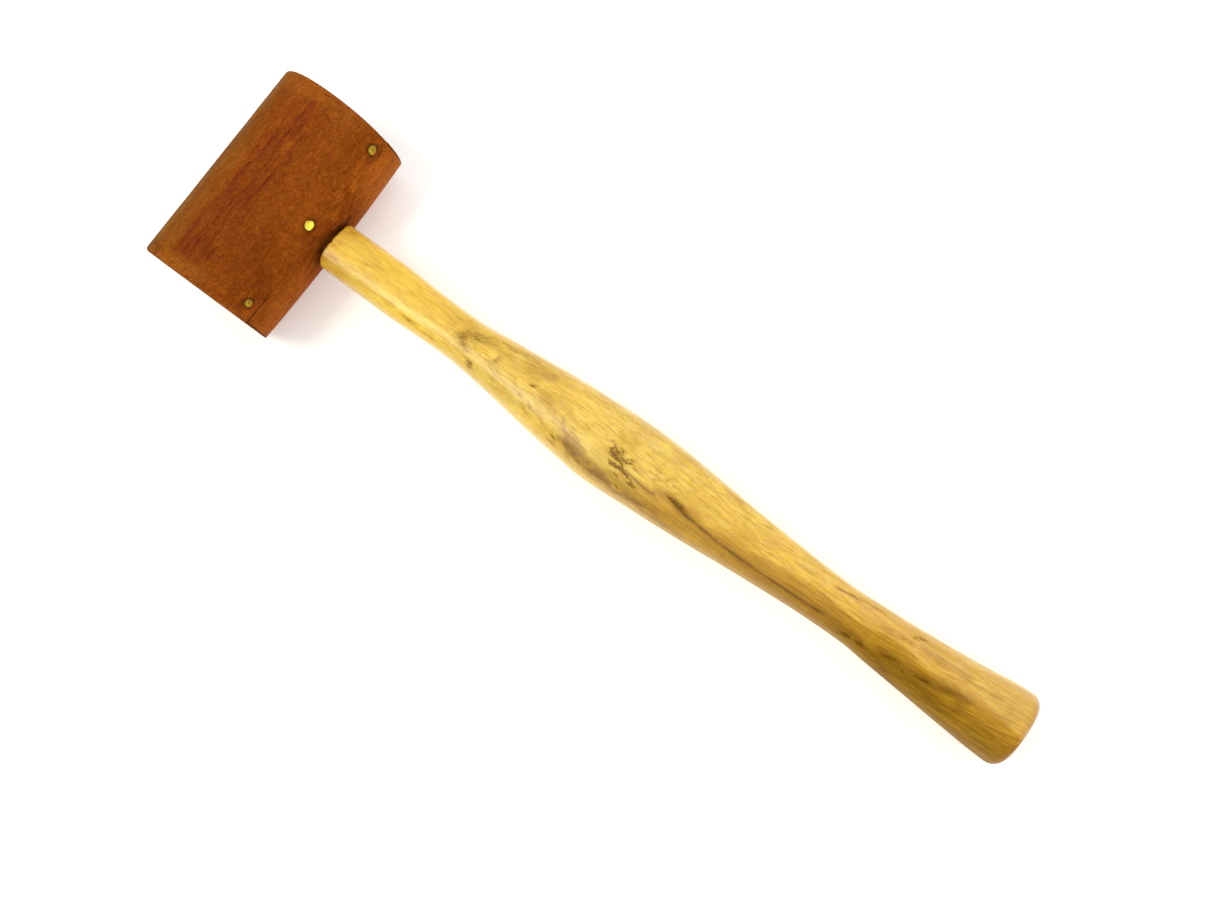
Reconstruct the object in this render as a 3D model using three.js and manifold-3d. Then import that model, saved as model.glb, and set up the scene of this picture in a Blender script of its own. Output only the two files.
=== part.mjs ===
// Coiled rawhide mallet with a shaped hardwood handle.
// Millimetres, +Z up. The mallet lies on its side: the handle runs along +X, the head's
// striking axis along Y, and the lowest line of the head rests on Z = 0.
// The origin is under the middle of the bounding box.
// Pieces are modelled in the head's frame, whose origin is the head's centre.
import * as THREE from "three";
import { mergeVertices } from "three/addons/utils/BufferGeometryUtils.js";
import Module from "manifold-3d";

const wasm = await Module();
wasm.setup();

const rad = THREE.MathUtils.degToRad;

// ---------------------------------------------------------------- driving dimensions
const HEAD_R = 25.4; // 2 inch head
const HEAD_HALF = 40.15; // half the head's length
const SEAM_DEG = 67; // where the strip's free edge lies, from +Z towards the handle
const TURN_STEPS = 40; // facets in one turn of the strip

// Distances from the head's centre along the handle
const SEAT_X = 25.75; // where the handle bears on the hide
const SHOULDER_X = 27.3; // the handle's shoulder
const BUTT_X = 309.3; // butt end

const TENON_R = 5.55; // 7/16 inch round tenon
const TENON_FIT = 0.3;
const FLUSH_GAP = 0.05; // tenon and wedge stop this far below the head's surface
const ROUND_SEGMENTS = 32; // facets round the handle, tenon and bore

// ---------------------------------------------------------------- helpers
function toSolid(geometry) {
  const bare = new THREE.BufferGeometry()
    .setAttribute("position", geometry.attributes.position)
    .setIndex(geometry.index);
  const merged = mergeVertices(bare, 1e-4);
  return new wasm.Manifold(
    new wasm.Mesh({
      numProp: 3,
      vertProperties: new Float32Array(merged.attributes.position.array),
      triVerts: new Uint32Array(merged.index.array),
    }),
  );
}

function toGeometry(solid) {
  const { vertProperties, triVerts } = solid.getMesh();
  const geometry = new THREE.BufferGeometry();
  geometry.setAttribute("position", new THREE.BufferAttribute(vertProperties, 3));
  geometry.setIndex(new THREE.BufferAttribute(triVerts, 1));
  geometry.computeVertexNormals();
  return geometry;
}

// Turns a profile of [radius, y] points about the Y axis.
function lathe(profile, segments, startAngle = 0) {
  const points = profile.map(([radius, y]) => new THREE.Vector2(radius, y));
  return new THREE.LatheGeometry(points, segments, startAngle, Math.PI * 2);
}

// Extrudes a shape drawn in X and Z evenly to both sides of Y = 0.
function extrudeAlongY(shape, halfLength) {
  const geometry = new THREE.ExtrudeGeometry(shape, {
    depth: 2 * halfLength,
    bevelEnabled: false,
    steps: 1,
  });
  return toSolid(geometry.rotateX(Math.PI / 2).translate(0, halfLength, 0));
}

function rodAlongX(radius, length, centreX = 0) {
  const geometry = new THREE.CylinderGeometry(radius, radius, length, ROUND_SEGMENTS);
  return toSolid(geometry.rotateZ(Math.PI / 2).translate(centreX, 0, 0));
}

// Smooth curve through the rows of a table: the value of a column at x.
// The slope at each row comes from its two neighbours; the ends are held.
function tableValue(rows, column, x) {
  const last = rows.length - 1;
  const place = THREE.MathUtils.clamp(x, rows[0][0], rows[last][0]);
  let i = 0;
  while (rows[i + 1][0] < place) i++;
  const before = rows[Math.max(0, i - 1)];
  const start = rows[i];
  const end = rows[i + 1];
  const after = rows[Math.min(last, i + 2)];

  const span = end[0] - start[0];
  const rise = (from, to) => ((to[column] - from[column]) / (to[0] - from[0])) * span;
  const t = (place - start[0]) / span;
  const t2 = t * t;
  const t3 = t2 * t;
  return (
    (2 * t3 - 3 * t2 + 1) * start[column] +
    (t3 - 2 * t2 + t) * rise(before, end) +
    (-2 * t3 + 3 * t2) * end[column] +
    (t3 - t2) * rise(start, after)
  );
}

// ---------------------------------------------------------------- nails
const NAIL_SHANK_R = 1.2;
const NAIL_FIT = 0.3; // clearance round a nail in its hole
const NAIL_TOP = HEAD_R - 0.06; // top of the nail heads, from the head's axis
const NAIL_SEGMENTS = 20;
const HOLE_OVERRUN = 2; // holes are cut this far past the head's surface

// Heights up from the tip
const NAIL_POINT = { height: 0.4, radiusRatio: 0.35 }; // blunt end of the point
const NAIL_POINT_LENGTH = 3.2;
// Depths down from the top
const SINK_DEPTH = 2; // where the countersink meets the shank
const RIM_FOOT = { depth: 0.75, inset: 0.15 };
const RIM_DEPTH = 0.45;

// deg: from +Z towards the handle; y: position along the head;
// tip: distance of the nail's tip from the head's axis
const NAILS = [
  { name: "handle_nail", headR: 1.85, deg: 56.6, y: -0.1, tip: 2.2 },
  { name: "end_nail_right", headR: 1.85, deg: 59.4, y: 34.0, tip: 8.5 },
  { name: "end_nail_left", headR: 1.6, deg: 56.5, y: -34.0, tip: 8.5 },
];

// A countersunk nail, or its hole: grown by `grow` and closed off at `outerEnd`,
// turned about Y with its head up, then set radially in the mallet's head.
function nailGeometry({ headR, deg, y, tip }, grow = 0, outerEnd = NAIL_TOP) {
  const profile = [
    [0, tip - grow],
    [NAIL_SHANK_R * NAIL_POINT.radiusRatio + grow, tip + NAIL_POINT.height],
    [NAIL_SHANK_R + grow, tip + NAIL_POINT_LENGTH],
    [NAIL_SHANK_R + grow, NAIL_TOP - SINK_DEPTH],
    [headR - RIM_FOOT.inset + grow, NAIL_TOP - RIM_FOOT.depth],
    [headR + grow, NAIL_TOP - RIM_DEPTH],
    [headR + grow, outerEnd],
    [0, outerEnd],
  ];
  const up = new THREE.Vector3(0, 1, 0);
  const outward = new THREE.Vector3(Math.sin(rad(deg)), 0, Math.cos(rad(deg)));
  return lathe(profile, NAIL_SEGMENTS)
    .applyQuaternion(new THREE.Quaternion().setFromUnitVectors(up, outward))
    .translate(0, y, 0);
}

const nailHole = (nail) => toSolid(nailGeometry(nail, NAIL_FIT, HEAD_R + HOLE_OVERRUN));

// ---------------------------------------------------------------- rawhide roll
const HIDE_PITCH = 3.85; // hide thickness plus the joint between turns
const JOINT_GAP = 0.25; // joint between one turn and the next
const CORE_R = 1.7; // radius of the inner end of the strip, rolled on itself
const FREE_EDGE = 0.6; // thickness left on the skived free edge of the strip
// The step up the free edge starts and ends at these angles past the seam
const EDGE_FOOT_DEG = 0.35;
const EDGE_TOP_DEG = 1.6;
const FACE_CHAMFER = 0.8; // broken outer corner of each striking face
const BLANK_END_OVERRUN = 1; // the chamfering blank is larger than the roll
const BLANK_SIDE_OVERRUN = 3;
const BORE_LENGTH = 80;

// Turns are counted along the joint's middle line, from the core outward
const JOINT_AT_SEAM = HEAD_R - FREE_EDGE - JOINT_GAP / 2;
const INNER_TURNS = (JOINT_AT_SEAM - CORE_R) / HIDE_PITCH; // up to one turn before the free edge
const TURNS = INNER_TURNS + 1;

function rollShape() {
  const points = [];
  const addPoint = (radius, turns) => {
    const angle = (turns - TURNS) * Math.PI * 2 + rad(SEAM_DEG);
    points.push(new THREE.Vector2(radius * Math.sin(angle), radius * Math.cos(angle)));
  };
  const underJoint = (turns) => CORE_R + HIDE_PITCH * turns - JOINT_GAP / 2;
  const overJoint = (turns) => CORE_R + HIDE_PITCH * turns + JOINT_GAP / 2;
  const step = 1 / TURN_STEPS;
  const minStep = 1e-3; // keeps the strip's inner corners clear of the next point

  // Outward along the outer face of the strip; facets line up with the free edge
  addPoint(underJoint(0), 0);
  const firstTurns = TURNS - Math.floor(TURNS / step) * step;
  for (let turns = firstTurns; turns < INNER_TURNS - 1e-6; turns += step) {
    if (turns > minStep) addPoint(underJoint(turns), turns);
  }

  // Up the free edge and once round the outside
  addPoint(underJoint(INNER_TURNS), INNER_TURNS);
  addPoint(underJoint(INNER_TURNS), INNER_TURNS + EDGE_FOOT_DEG / 360);
  addPoint(HEAD_R, INNER_TURNS + EDGE_TOP_DEG / 360);
  for (let k = TURN_STEPS - 1; k >= 0; k--) addPoint(HEAD_R, TURNS - k * step);

  // Back inward along the inner face, which lies on the turn below
  for (let k = 0; TURNS - k * step > 1 + minStep; k++) {
    const turns = TURNS - k * step;
    addPoint(overJoint(turns - 1), turns);
  }
  addPoint(overJoint(0), 1);
  return new THREE.Shape(points);
}

// An oversize barrel whose 45 degree ends chamfer the striking faces
function chamferBlank() {
  const endR = HEAD_R - FACE_CHAMFER - BLANK_END_OVERRUN;
  const endY = HEAD_HALF + BLANK_END_OVERRUN;
  const sideR = HEAD_R + BLANK_SIDE_OVERRUN;
  const sideY = HEAD_HALF - FACE_CHAMFER - BLANK_SIDE_OVERRUN;
  const profile = [
    [0, -endY],
    [endR, -endY],
    [sideR, -sideY],
    [sideR, sideY],
    [endR, endY],
    [0, endY],
  ];
  return toSolid(lathe(profile, TURN_STEPS, rad(SEAM_DEG)));
}

function rawhideRoll() {
  let roll = extrudeAlongY(rollShape(), HEAD_HALF)
    .intersect(chamferBlank())
    .subtract(rodAlongX(TENON_R + TENON_FIT, BORE_LENGTH));
  for (const nail of NAILS) roll = roll.subtract(nailHole(nail));
  return roll;
}

// ---------------------------------------------------------------- tenon and wedge
const ENVELOPE_HALF = 20; // half length of the cylinder that trims the tenon
const ENVELOPE_SEGMENTS = 96;
const TENON_BLANK_LENGTH = 60;
const TENON_ROOT = { length: 24, centreX: 20 }; // joins the tenon to the handle

const WEDGE_LENGTH = 17;
const WEDGE_THICK = 2.4; // at the outer end
const WEDGE_TIP = 0.8;
const WEDGE_FIT = 0.15;
const WEDGE_OVERRUN = 3; // past the head's surface, before trimming
const WEDGE_HALF_WIDTH = 9; // wider than the tenon, before trimming
const KERF_EXTRA = 1.2; // kerf depth beyond the wedge's tip

// The part of the tenon inside the head, its end curved to the head's surface
function tenonInHead() {
  const radius = HEAD_R - FLUSH_GAP;
  const profile = [
    [0, -ENVELOPE_HALF],
    [radius, -ENVELOPE_HALF],
    [radius, ENVELOPE_HALF],
    [0, ENVELOPE_HALF],
  ];
  const envelope = toSolid(lathe(profile, ENVELOPE_SEGMENTS));
  return rodAlongX(TENON_R, TENON_BLANK_LENGTH).intersect(envelope);
}

// Wedge and kerf lie in the plane of the handle and the head's axis
function wedgePlate(length, grow = 0) {
  const outer = WEDGE_THICK / 2 + grow;
  const tip = WEDGE_TIP / 2 + grow;
  const points = [
    [-HEAD_R - WEDGE_OVERRUN, -outer],
    [-HEAD_R, -outer],
    [-HEAD_R + length, -tip],
    [-HEAD_R + length, tip],
    [-HEAD_R, outer],
    [-HEAD_R - WEDGE_OVERRUN, outer],
  ].map(([x, z]) => new THREE.Vector2(x, z));
  return extrudeAlongY(new THREE.Shape(points), WEDGE_HALF_WIDTH);
}

const tenonWedge = () => wedgePlate(WEDGE_LENGTH).intersect(tenonInHead());

// ---------------------------------------------------------------- handle
const SEAT_LAND = 0.35; // width of the bearing ring round the tenon
const SHOULDER_ROUND = 0.5; // depth of the shoulder's rounding
const SHOULDER_RATIO = 2.2; // its length along the handle, over its depth
const BUTT_ROUND = 4.2; // length of the butt's rounding
const BUTT_RATIO = 0.8; // its depth over its length
const BUTT_START_X = BUTT_X - BUTT_ROUND;

// Distance from the head's centre, half width towards +Y, half width towards -Y
const OUTLINE = [
  [SEAT_X, 9.72, 8.35], [33, 9.75, 8.35], [40, 9.79, 8.42], [47, 9.72, 8.47],
  [54, 9.7, 8.59], [61, 9.32, 8.55], [68, 8.94, 8.33], [75, 8.68, 8.15],
  [82, 8.54, 8.09], [89, 8.65, 8.46], [96, 9.38, 9.15], [103, 10.1, 9.94],
  [110, 10.75, 10.79], [117, 11.41, 11.69], [124, 12.11, 12.46], [131, 12.64, 13.23],
  [138, 13.05, 13.91], [145, 13.4, 14.54], [152, 13.62, 14.45], [159, 13.67, 14.08],
  [166, 13.48, 13.65], [173, 13.07, 13.23], [180, 12.48, 12.74], [187, 11.92, 12.21],
  [194, 11.39, 11.6], [201, 10.83, 10.92], [208, 10.34, 10.36], [215, 9.82, 9.82],
  [222, 9.44, 9.33], [229, 9.08, 8.84], [236, 8.82, 8.57], [243, 8.71, 8.39],
  [250, 9.13, 8.44], [257, 9.48, 9.07], [264, 9.94, 9.58], [271, 10.53, 10.11],
  [278, 11.16, 10.64], [285, 11.85, 11.18], [292, 12.68, 11.67], [299, 13.66, 12.15],
  [BUTT_X, 14.45, 12.55],
];
// Distance from the head's centre, half thickness along Z
const THICKNESS = [
  [SEAT_X, 6.9], [50, 7.1], [78, 6.95], [100, 8.3], [123, 9.7],
  [145, 10.3], [168, 9.9], [190, 9.0], [215, 7.8], [240, 7.3],
  [258, 8.1], [275, 9.6], [292, 11.4], [BUTT_X, 12.7],
];
// Distance from the head's centre, exponent of the rounded section (2 is an ellipse)
const SQUARENESS = [
  [SEAT_X, 2.7], [90, 2.55], [145, 2.4], [240, 2.4], [295, 2.15], [BUTT_X, 2.1],
];

// Sections along the main length of the handle
const SECTIONS = { startX: 33, endX: 300, pitch: 5.35 };

function handleStations() {
  const stations = [SEAT_X, (SEAT_X + SHOULDER_X) / 2];
  for (const ratio of [0, 0.25, 0.6, 1.2, SHOULDER_RATIO])
    stations.push(SHOULDER_X + SHOULDER_ROUND * ratio);
  for (let x = SECTIONS.startX; x < SECTIONS.endX; x += SECTIONS.pitch) stations.push(x);
  for (const deg of [0, 22, 44, 62, 78, 90])
    stations.push(BUTT_START_X + BUTT_ROUND * Math.sin(rad(deg)));
  return stations;
}

// A short cone under the shoulder, down to the bearing ring
function coned(x, half) {
  const t = (x - SEAT_X) / (SHOULDER_X - SEAT_X);
  return t < 1 ? (TENON_R + SEAT_LAND) * (1 - t) + half * t : half;
}

// How far the rounded shoulder and butt draw the surface in
function roundingInset(x) {
  const roundLength = SHOULDER_ROUND * SHOULDER_RATIO;
  const pastShoulder = Math.max(0, x - SHOULDER_X);
  if (pastShoulder < roundLength)
    return SHOULDER_ROUND * (1 - pastShoulder / roundLength) ** 2;
  const t = Math.max(0, x - BUTT_START_X) / BUTT_ROUND;
  return BUTT_ROUND * (1 - Math.sqrt(Math.max(0, 1 - t ** 2))) * BUTT_RATIO;
}

// A unit cylinder whose rings are moved to the stations and reshaped
function handleBody() {
  const stations = handleStations();
  const spans = stations.length - 1;
  const geometry = new THREE.CylinderGeometry(1, 1, 1, ROUND_SEGMENTS, spans);
  const position = geometry.attributes.position;
  for (let i = 0; i < position.count; i++) {
    const x = stations[Math.round((0.5 - position.getY(i)) * spans)];
    const across = position.getX(i);
    const upward = position.getZ(i);
    const power = 2 / tableValue(SQUARENESS, 1, x);
    const inset = roundingInset(x);
    const halfWidth = coned(x, tableValue(OUTLINE, across > 0 ? 1 : 2, x) - inset);
    const halfThick = coned(x, tableValue(THICKNESS, 1, x) - inset);
    const y = Math.sign(across) * Math.abs(across) ** power * halfWidth;
    const z = Math.sign(upward) * Math.abs(upward) ** power * halfThick;
    position.setXYZ(i, x, y, z);
  }
  return toSolid(geometry);
}

function handle() {
  const [handleNail] = NAILS;
  return handleBody()
    .add(rodAlongX(TENON_R, TENON_ROOT.length, TENON_ROOT.centreX))
    .add(tenonInHead())
    .subtract(wedgePlate(WEDGE_LENGTH + KERF_EXTRA, WEDGE_FIT))
    .subtract(nailHole(handleNail));
}

// ---------------------------------------------------------------- assembly
const standard = (settings) => new THREE.MeshStandardMaterial(settings);
const MATERIALS = {
  rawhide: standard({ color: 0x8a4516, roughness: 0.55, metalness: 0 }),
  handle: standard({ color: 0xd9ae4e, roughness: 0.42, metalness: 0 }),
  wedge: standard({ color: 0xb98a4a, roughness: 0.6, metalness: 0 }),
  brass: standard({ color: 0xc9a227, roughness: 0.35, metalness: 1 }),
};

const mallet = new THREE.Group();
mallet.name = "mallet";
const headFrame = new THREE.Group();
headFrame.position.set(-(BUTT_X - HEAD_R) / 2, 0, HEAD_R);
mallet.add(headFrame);

function addPart(name, geometry, material) {
  const mesh = new THREE.Mesh(geometry, material);
  mesh.name = name;
  headFrame.add(mesh);
}
addPart("rawhide_roll", toGeometry(rawhideRoll()), MATERIALS.rawhide);
addPart("handle", toGeometry(handle()), MATERIALS.handle);
addPart("tenon_wedge", toGeometry(tenonWedge()), MATERIALS.wedge);
for (const nail of NAILS) addPart(nail.name, nailGeometry(nail), MATERIALS.brass);

export default mallet;
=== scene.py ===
# A mallet with a rolled rawhide head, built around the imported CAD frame.
# Builders work in millimetres from the centre of the head: X runs along the handle towards
# its butt, Y along the head's axis, Z up. Meshes are turned into metres in the CAD frame.
import math

import bpy
import bmesh
import numpy as np
from mathutils import Matrix, Vector


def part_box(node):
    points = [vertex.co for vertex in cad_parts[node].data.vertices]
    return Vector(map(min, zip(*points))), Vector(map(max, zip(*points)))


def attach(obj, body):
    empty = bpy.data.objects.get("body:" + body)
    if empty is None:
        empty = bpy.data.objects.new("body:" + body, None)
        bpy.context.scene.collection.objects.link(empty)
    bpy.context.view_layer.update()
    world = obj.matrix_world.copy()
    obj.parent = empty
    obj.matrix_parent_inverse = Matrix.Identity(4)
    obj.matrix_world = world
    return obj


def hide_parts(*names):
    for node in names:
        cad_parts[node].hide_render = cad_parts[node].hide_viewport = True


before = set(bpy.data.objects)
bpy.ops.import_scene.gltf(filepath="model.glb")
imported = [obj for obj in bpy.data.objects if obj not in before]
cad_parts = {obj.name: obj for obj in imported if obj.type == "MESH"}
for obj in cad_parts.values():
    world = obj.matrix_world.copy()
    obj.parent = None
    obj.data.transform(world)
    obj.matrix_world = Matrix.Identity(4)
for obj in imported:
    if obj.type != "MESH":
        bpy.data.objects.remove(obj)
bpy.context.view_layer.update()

MM = 0.001
TAU = 2 * math.pi
DEG = math.pi / 180

# Head, a strip coiled round Y. Angles run from +Z towards +X.
_low, _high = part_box("rawhide_roll")
HEAD_CENTRE = (_low + _high) / 2
HEAD_R = 25.4
HEAD_HALF = (_high.y - _low.y) / 2 / MM
END_Y = HEAD_HALF - 0.02
SEAM_DEG = 67.0  # where the strip's free edge lies
SEAM = SEAM_DEG * DEG
PITCH = 3.85  # radius gained by each turn
JOINT = 0.13  # gap between turns
CORE_R = 1.7
FREE_EDGE, END_GAP = 0.6, 0.125  # taken off the radius before the turns are counted
TURNS = (HEAD_R - FREE_EDGE - END_GAP - CORE_R) / PITCH + 1
SWEEP_END = TURNS * TAU
LAST_TURN = SWEEP_END - TAU  # sweep at which the outermost turn begins
RIM_R = 1.25  # worn rounding of the head's rims
STRIP_R = 0.2  # rounding of the strip's own edges
NICK_Y = 38.5  # a small cut in the hide near the +Y rim
SHEET_DEG, SHEET_Y = 6.3, 0.95  # turn and shift of the hide's marks against the head
MM_PER_DEG = 0.4433  # along the head's surface

# Handle and its wedge
BUTT_X = (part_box("handle")[1].x - HEAD_CENTRE.x) / MM
SEAT_X = 25.75
SHOULDER_X = 27.3
TENON_R = 5.55
WEDGE_L, WEDGE_THICK, WEDGE_TIP = 17.0, 2.4, 0.8

# Nails: head radius, angle, place along Y, how far from the axis the tip is, noise seed
NAILS = {
    "handle_nail": dict(r=1.82, deg=56.6, y=-0.1, tip=2.2, seed=21),
    "end_nail_right": dict(r=1.80, deg=59.4, y=34.0, tip=8.5, seed=22),
    "end_nail_left": dict(r=1.55, deg=56.5, y=-34.0, tip=8.5, seed=23),
}

# Handle seen from above: X, half width towards +Y, half width towards -Y
OUTLINE = np.array([
    [25.75, 9.72, 8.35], [33, 9.75, 8.35], [40, 9.79, 8.42], [47, 9.72, 8.47], [54, 9.7, 8.59],
    [61, 9.32, 8.55], [68, 8.94, 8.33], [75, 8.68, 8.15], [82, 8.54, 8.09], [89, 8.65, 8.46],
    [96, 9.38, 9.15], [103, 10.1, 9.94], [110, 10.75, 10.79], [117, 11.41, 11.69],
    [124, 12.11, 12.46], [131, 12.64, 13.23], [138, 13.05, 13.91], [145, 13.4, 14.54],
    [152, 13.62, 14.45], [159, 13.67, 14.08], [166, 13.48, 13.65], [173, 13.07, 13.23],
    [180, 12.48, 12.74], [187, 11.92, 12.21], [194, 11.39, 11.6], [201, 10.83, 10.92],
    [208, 10.34, 10.36], [215, 9.82, 9.82], [222, 9.44, 9.33], [229, 9.08, 8.84],
    [236, 8.82, 8.57], [243, 8.71, 8.39], [250, 9.13, 8.44], [257, 9.48, 9.07],
    [264, 9.94, 9.58], [271, 10.53, 10.11], [278, 11.16, 10.64], [285, 11.85, 11.18],
    [292, 12.68, 11.67], [299, 13.66, 12.15], [309.3, 14.45, 12.55],
])
# X, half height
THICKNESS = np.array([
    [25.75, 6.9], [50, 7.1], [78, 6.95], [100, 8.3], [123, 9.7], [145, 10.3], [168, 9.9],
    [190, 9.0], [215, 7.8], [240, 7.3], [258, 8.1], [275, 9.6], [292, 11.4], [309.3, 12.7],
])
# X, power of the superellipse section (2 is an ellipse)
SQUARENESS = np.array([
    [25.75, 2.7], [90, 2.55], [145, 2.4], [240, 2.4], [295, 2.15], [309.3, 2.1],
])


# ------------------------------------------------------------------ numeric helpers
def ease(low, high, value):
    """Smooth step from 0 at low to 1 at high."""
    part = np.clip((np.asarray(value, float) - low) / (high - low), 0, 1)
    return part * part * (3 - 2 * part)


def band(value, rise, full, fall, end):
    """Eases up from rise to full, and down again from fall to end."""
    return ease(rise, full, value) * (1 - ease(fall, end, value))


def bell(distance, width):
    return np.exp(-((distance / width) ** 2))


def wrapped(angle):
    """The angle between -pi and pi."""
    return (angle + math.pi) % TAU - math.pi


def curve(rows, column, x):
    """Catmull-Rom through the rows of a table."""
    xs, ys = rows[:, 0], rows[:, column]
    x = np.clip(np.asarray(x, float), xs[0], xs[-1])
    i = np.clip(np.searchsorted(xs, x, side="left") - 1, 0, len(xs) - 2)
    slope = np.empty(len(xs))
    slope[1:-1] = (ys[2:] - ys[:-2]) / (xs[2:] - xs[:-2])
    slope[0] = (ys[1] - ys[0]) / (xs[1] - xs[0])
    slope[-1] = (ys[-1] - ys[-2]) / (xs[-1] - xs[-2])
    step = xs[i + 1] - xs[i]
    part = (x - xs[i]) / step
    square, cube = part**2, part**3
    return (
        (2 * cube - 3 * square + 1) * ys[i]
        + (cube - 2 * square + part) * step * slope[i]
        + (-2 * cube + 3 * square) * ys[i + 1]
        + (cube - square) * step * slope[i + 1]
    )


def lattice_value(i, j, k, seed):
    """A fixed random number, -1 to 1, for each whole-number point."""
    mix = (
        i.astype(np.uint64) * np.uint64(0x9E3779B1)
        ^ j.astype(np.uint64) * np.uint64(0x85EBCA77)
        ^ k.astype(np.uint64) * np.uint64(0xC2B2AE3D)
    ) + np.uint64(seed * 7919 + 17)
    mix = (mix ^ (mix >> np.uint64(15))) * np.uint64(0x2C1B3C6D) & np.uint64(0xFFFFFFFF)
    mix = (mix ^ (mix >> np.uint64(12))) * np.uint64(0x297A2D39) & np.uint64(0xFFFFFFFF)
    mix = mix ^ (mix >> np.uint64(15))
    return (mix & np.uint64(0xFFFFF)).astype(float) / 0xFFFFF * 2 - 1


def vnoise(x, y, z=0.0, seed=0):
    """Smooth value noise, -1 to 1."""
    place = np.broadcast_arrays(np.asarray(x, float), y, z)
    cell = [np.floor(axis) for axis in place]
    parts = [axis - floor for axis, floor in zip(place, cell)]
    parts = [t * t * t * (t * (t * 6 - 15) + 10) for t in parts]
    i, j, k = (floor.astype(np.int64) + 100000 for floor in cell)
    total = 0
    for a in (0, 1):
        for b in (0, 1):
            for c in (0, 1):
                weight = 1
                for part, far in zip(parts, (a, b, c)):
                    weight = weight * (part if far else 1 - part)
                total = total + weight * lattice_value(i + a, j + b, k + c, seed)
    return total


def fbm(x, y, z, octaves=4, gain=0.5, seed=0):
    """Value noise in octaves, each weaker than the last by gain."""
    total, weight, scale = 0, 1.0, 1.0
    for octave in range(octaves):
        place = (np.asarray(axis) * scale for axis in (x, y, z))
        total = total + weight * vnoise(*place, seed + octave * 31)
        weight *= gain
        scale *= 2.03
    return total


def stretched(points, scale, octaves, gain, seed):
    """Noise at the points, with its own scale along each axis."""
    return fbm(*(points * scale).T, octaves, gain, seed)


# ------------------------------------------------------------------ mesh helpers
def edit_mesh(mesh, edit):
    work = bmesh.new()
    work.from_mesh(mesh)
    edit(work)
    work.to_mesh(mesh)
    work.free()
    mesh.update()


def link_mesh(name, verts, faces):
    """An object from points in metres, with its faces turned outwards."""
    mesh = bpy.data.meshes.new(name)
    mesh.from_pydata(verts, [], faces)
    mesh.update()
    ob = bpy.data.objects.new(name, mesh)
    bpy.context.scene.collection.objects.link(ob)
    edit_mesh(mesh, lambda work: bmesh.ops.recalc_face_normals(work, faces=work.faces))
    return ob


def mesh_object(name, verts, faces, sharp_deg=0):
    """A smooth-shaded object from points in millimetres from the head's centre."""
    verts = np.asarray(verts, float) * MM + np.array(HEAD_CENTRE)
    ob = link_mesh(name, verts.tolist(), [list(map(int, face)) for face in faces])
    ob.data.shade_smooth()
    if sharp_deg:
        ob.data.set_sharp_from_angle(angle=math.radians(sharp_deg))
    return ob


def tube_faces(rings, count, closed=True):
    """Quads between rings of count points; the fans' two centres come after all the rings."""
    start = np.arange(rings - 1)[:, None] * count
    a = start + np.arange(count)[None]
    b = start + (np.arange(count)[None] + 1) % count
    faces = np.stack([a, b, b + count, a + count], -1).reshape(-1, 4).tolist()
    if closed:
        total, last = rings * count, (rings - 1) * count
        faces += [[total, (j + 1) % count, j] for j in range(count)]
        faces += [[total + 1, last + j, last + (j + 1) % count] for j in range(count)]
    return faces


def closed_tube(name, rings, start, end, sharp_deg=0):
    verts = np.concatenate(rings + [np.array([start, end])])
    return mesh_object(name, verts, tube_faces(len(rings), len(rings[0])), sharp_deg)


# The manifold solver where this Blender has it
_solvers = bpy.types.BooleanModifier.bl_rna.properties["solver"].enum_items
SOLVER = "MANIFOLD" if "MANIFOLD" in [item.identifier for item in _solvers] else "EXACT"


def cut(ob, cutters, sharp_deg):
    """Subtracts the cutter objects and removes them."""
    for cutter in cutters:
        modifier = ob.modifiers.new("cut", "BOOLEAN")
        modifier.operation = "DIFFERENCE"
        modifier.object = cutter
        modifier.solver = SOLVER
    bpy.context.view_layer.update()
    graph = bpy.context.evaluated_depsgraph_get()
    mesh = bpy.data.meshes.new_from_object(ob.evaluated_get(graph), depsgraph=graph)
    old = ob.data
    ob.modifiers.clear()
    ob.data = mesh
    mesh.name = ob.name
    bpy.data.meshes.remove(old)
    for cutter in cutters:
        bpy.data.objects.remove(cutter)
    mesh.shade_smooth()
    mesh.set_sharp_from_angle(angle=math.radians(sharp_deg))


def mesh_points(mesh):
    """A mesh's vertices in millimetres from the head's centre."""
    flat = np.empty(len(mesh.vertices) * 3, np.float32)
    mesh.vertices.foreach_get("co", flat)
    return (flat.reshape(-1, 3).astype(float) - np.array(HEAD_CENTRE)) / MM


def store(mesh, name, values):
    """Keeps one number, or three, per vertex as an attribute."""
    kind, field = ("FLOAT", "value") if values.ndim == 1 else ("FLOAT_VECTOR", "vector")
    attribute = mesh.attributes.new(name, kind, "POINT")
    attribute.data.foreach_set(field, np.asarray(values, np.float32).ravel())


# ------------------------------------------------------------------ painting helpers
def srgb(*levels):
    """Linear colour from 0-255 levels."""
    levels = [level / 255 for level in levels]
    return tuple(c / 12.92 if c <= 0.04045 else ((c + 0.055) / 1.055) ** 2.4 for c in levels)


def linear(colour):
    return np.array(srgb(*colour)) if isinstance(colour, tuple) else colour


def tints_along(x, stations, colours):
    """Colours blended between stations along X."""
    columns = np.array([srgb(*colour) for colour in colours]).T
    return np.stack([np.interp(x, stations, column) for column in columns], -1)


class Paint:
    """Colour per vertex, laid on in layers of a 0-255 tuple or of linear values."""

    def __init__(self, colour, shade):
        self.rgb = linear(colour) * (1 + shade)[:, None]

    def over(self, mask, colour):
        mask = np.clip(mask, 0, 1)[:, None]
        self.rgb = self.rgb * (1 - mask) + linear(colour) * mask

    def gain(self, mask, change):
        """Raises or lowers each channel by its part of change where mask is 1."""
        self.rgb = self.rgb * (1 + mask[:, None] * np.array(change))

    def store(self, mesh, scale):
        store(mesh, "tint", np.clip(self.rgb * np.array(scale), 0.001, 1.0))


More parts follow.
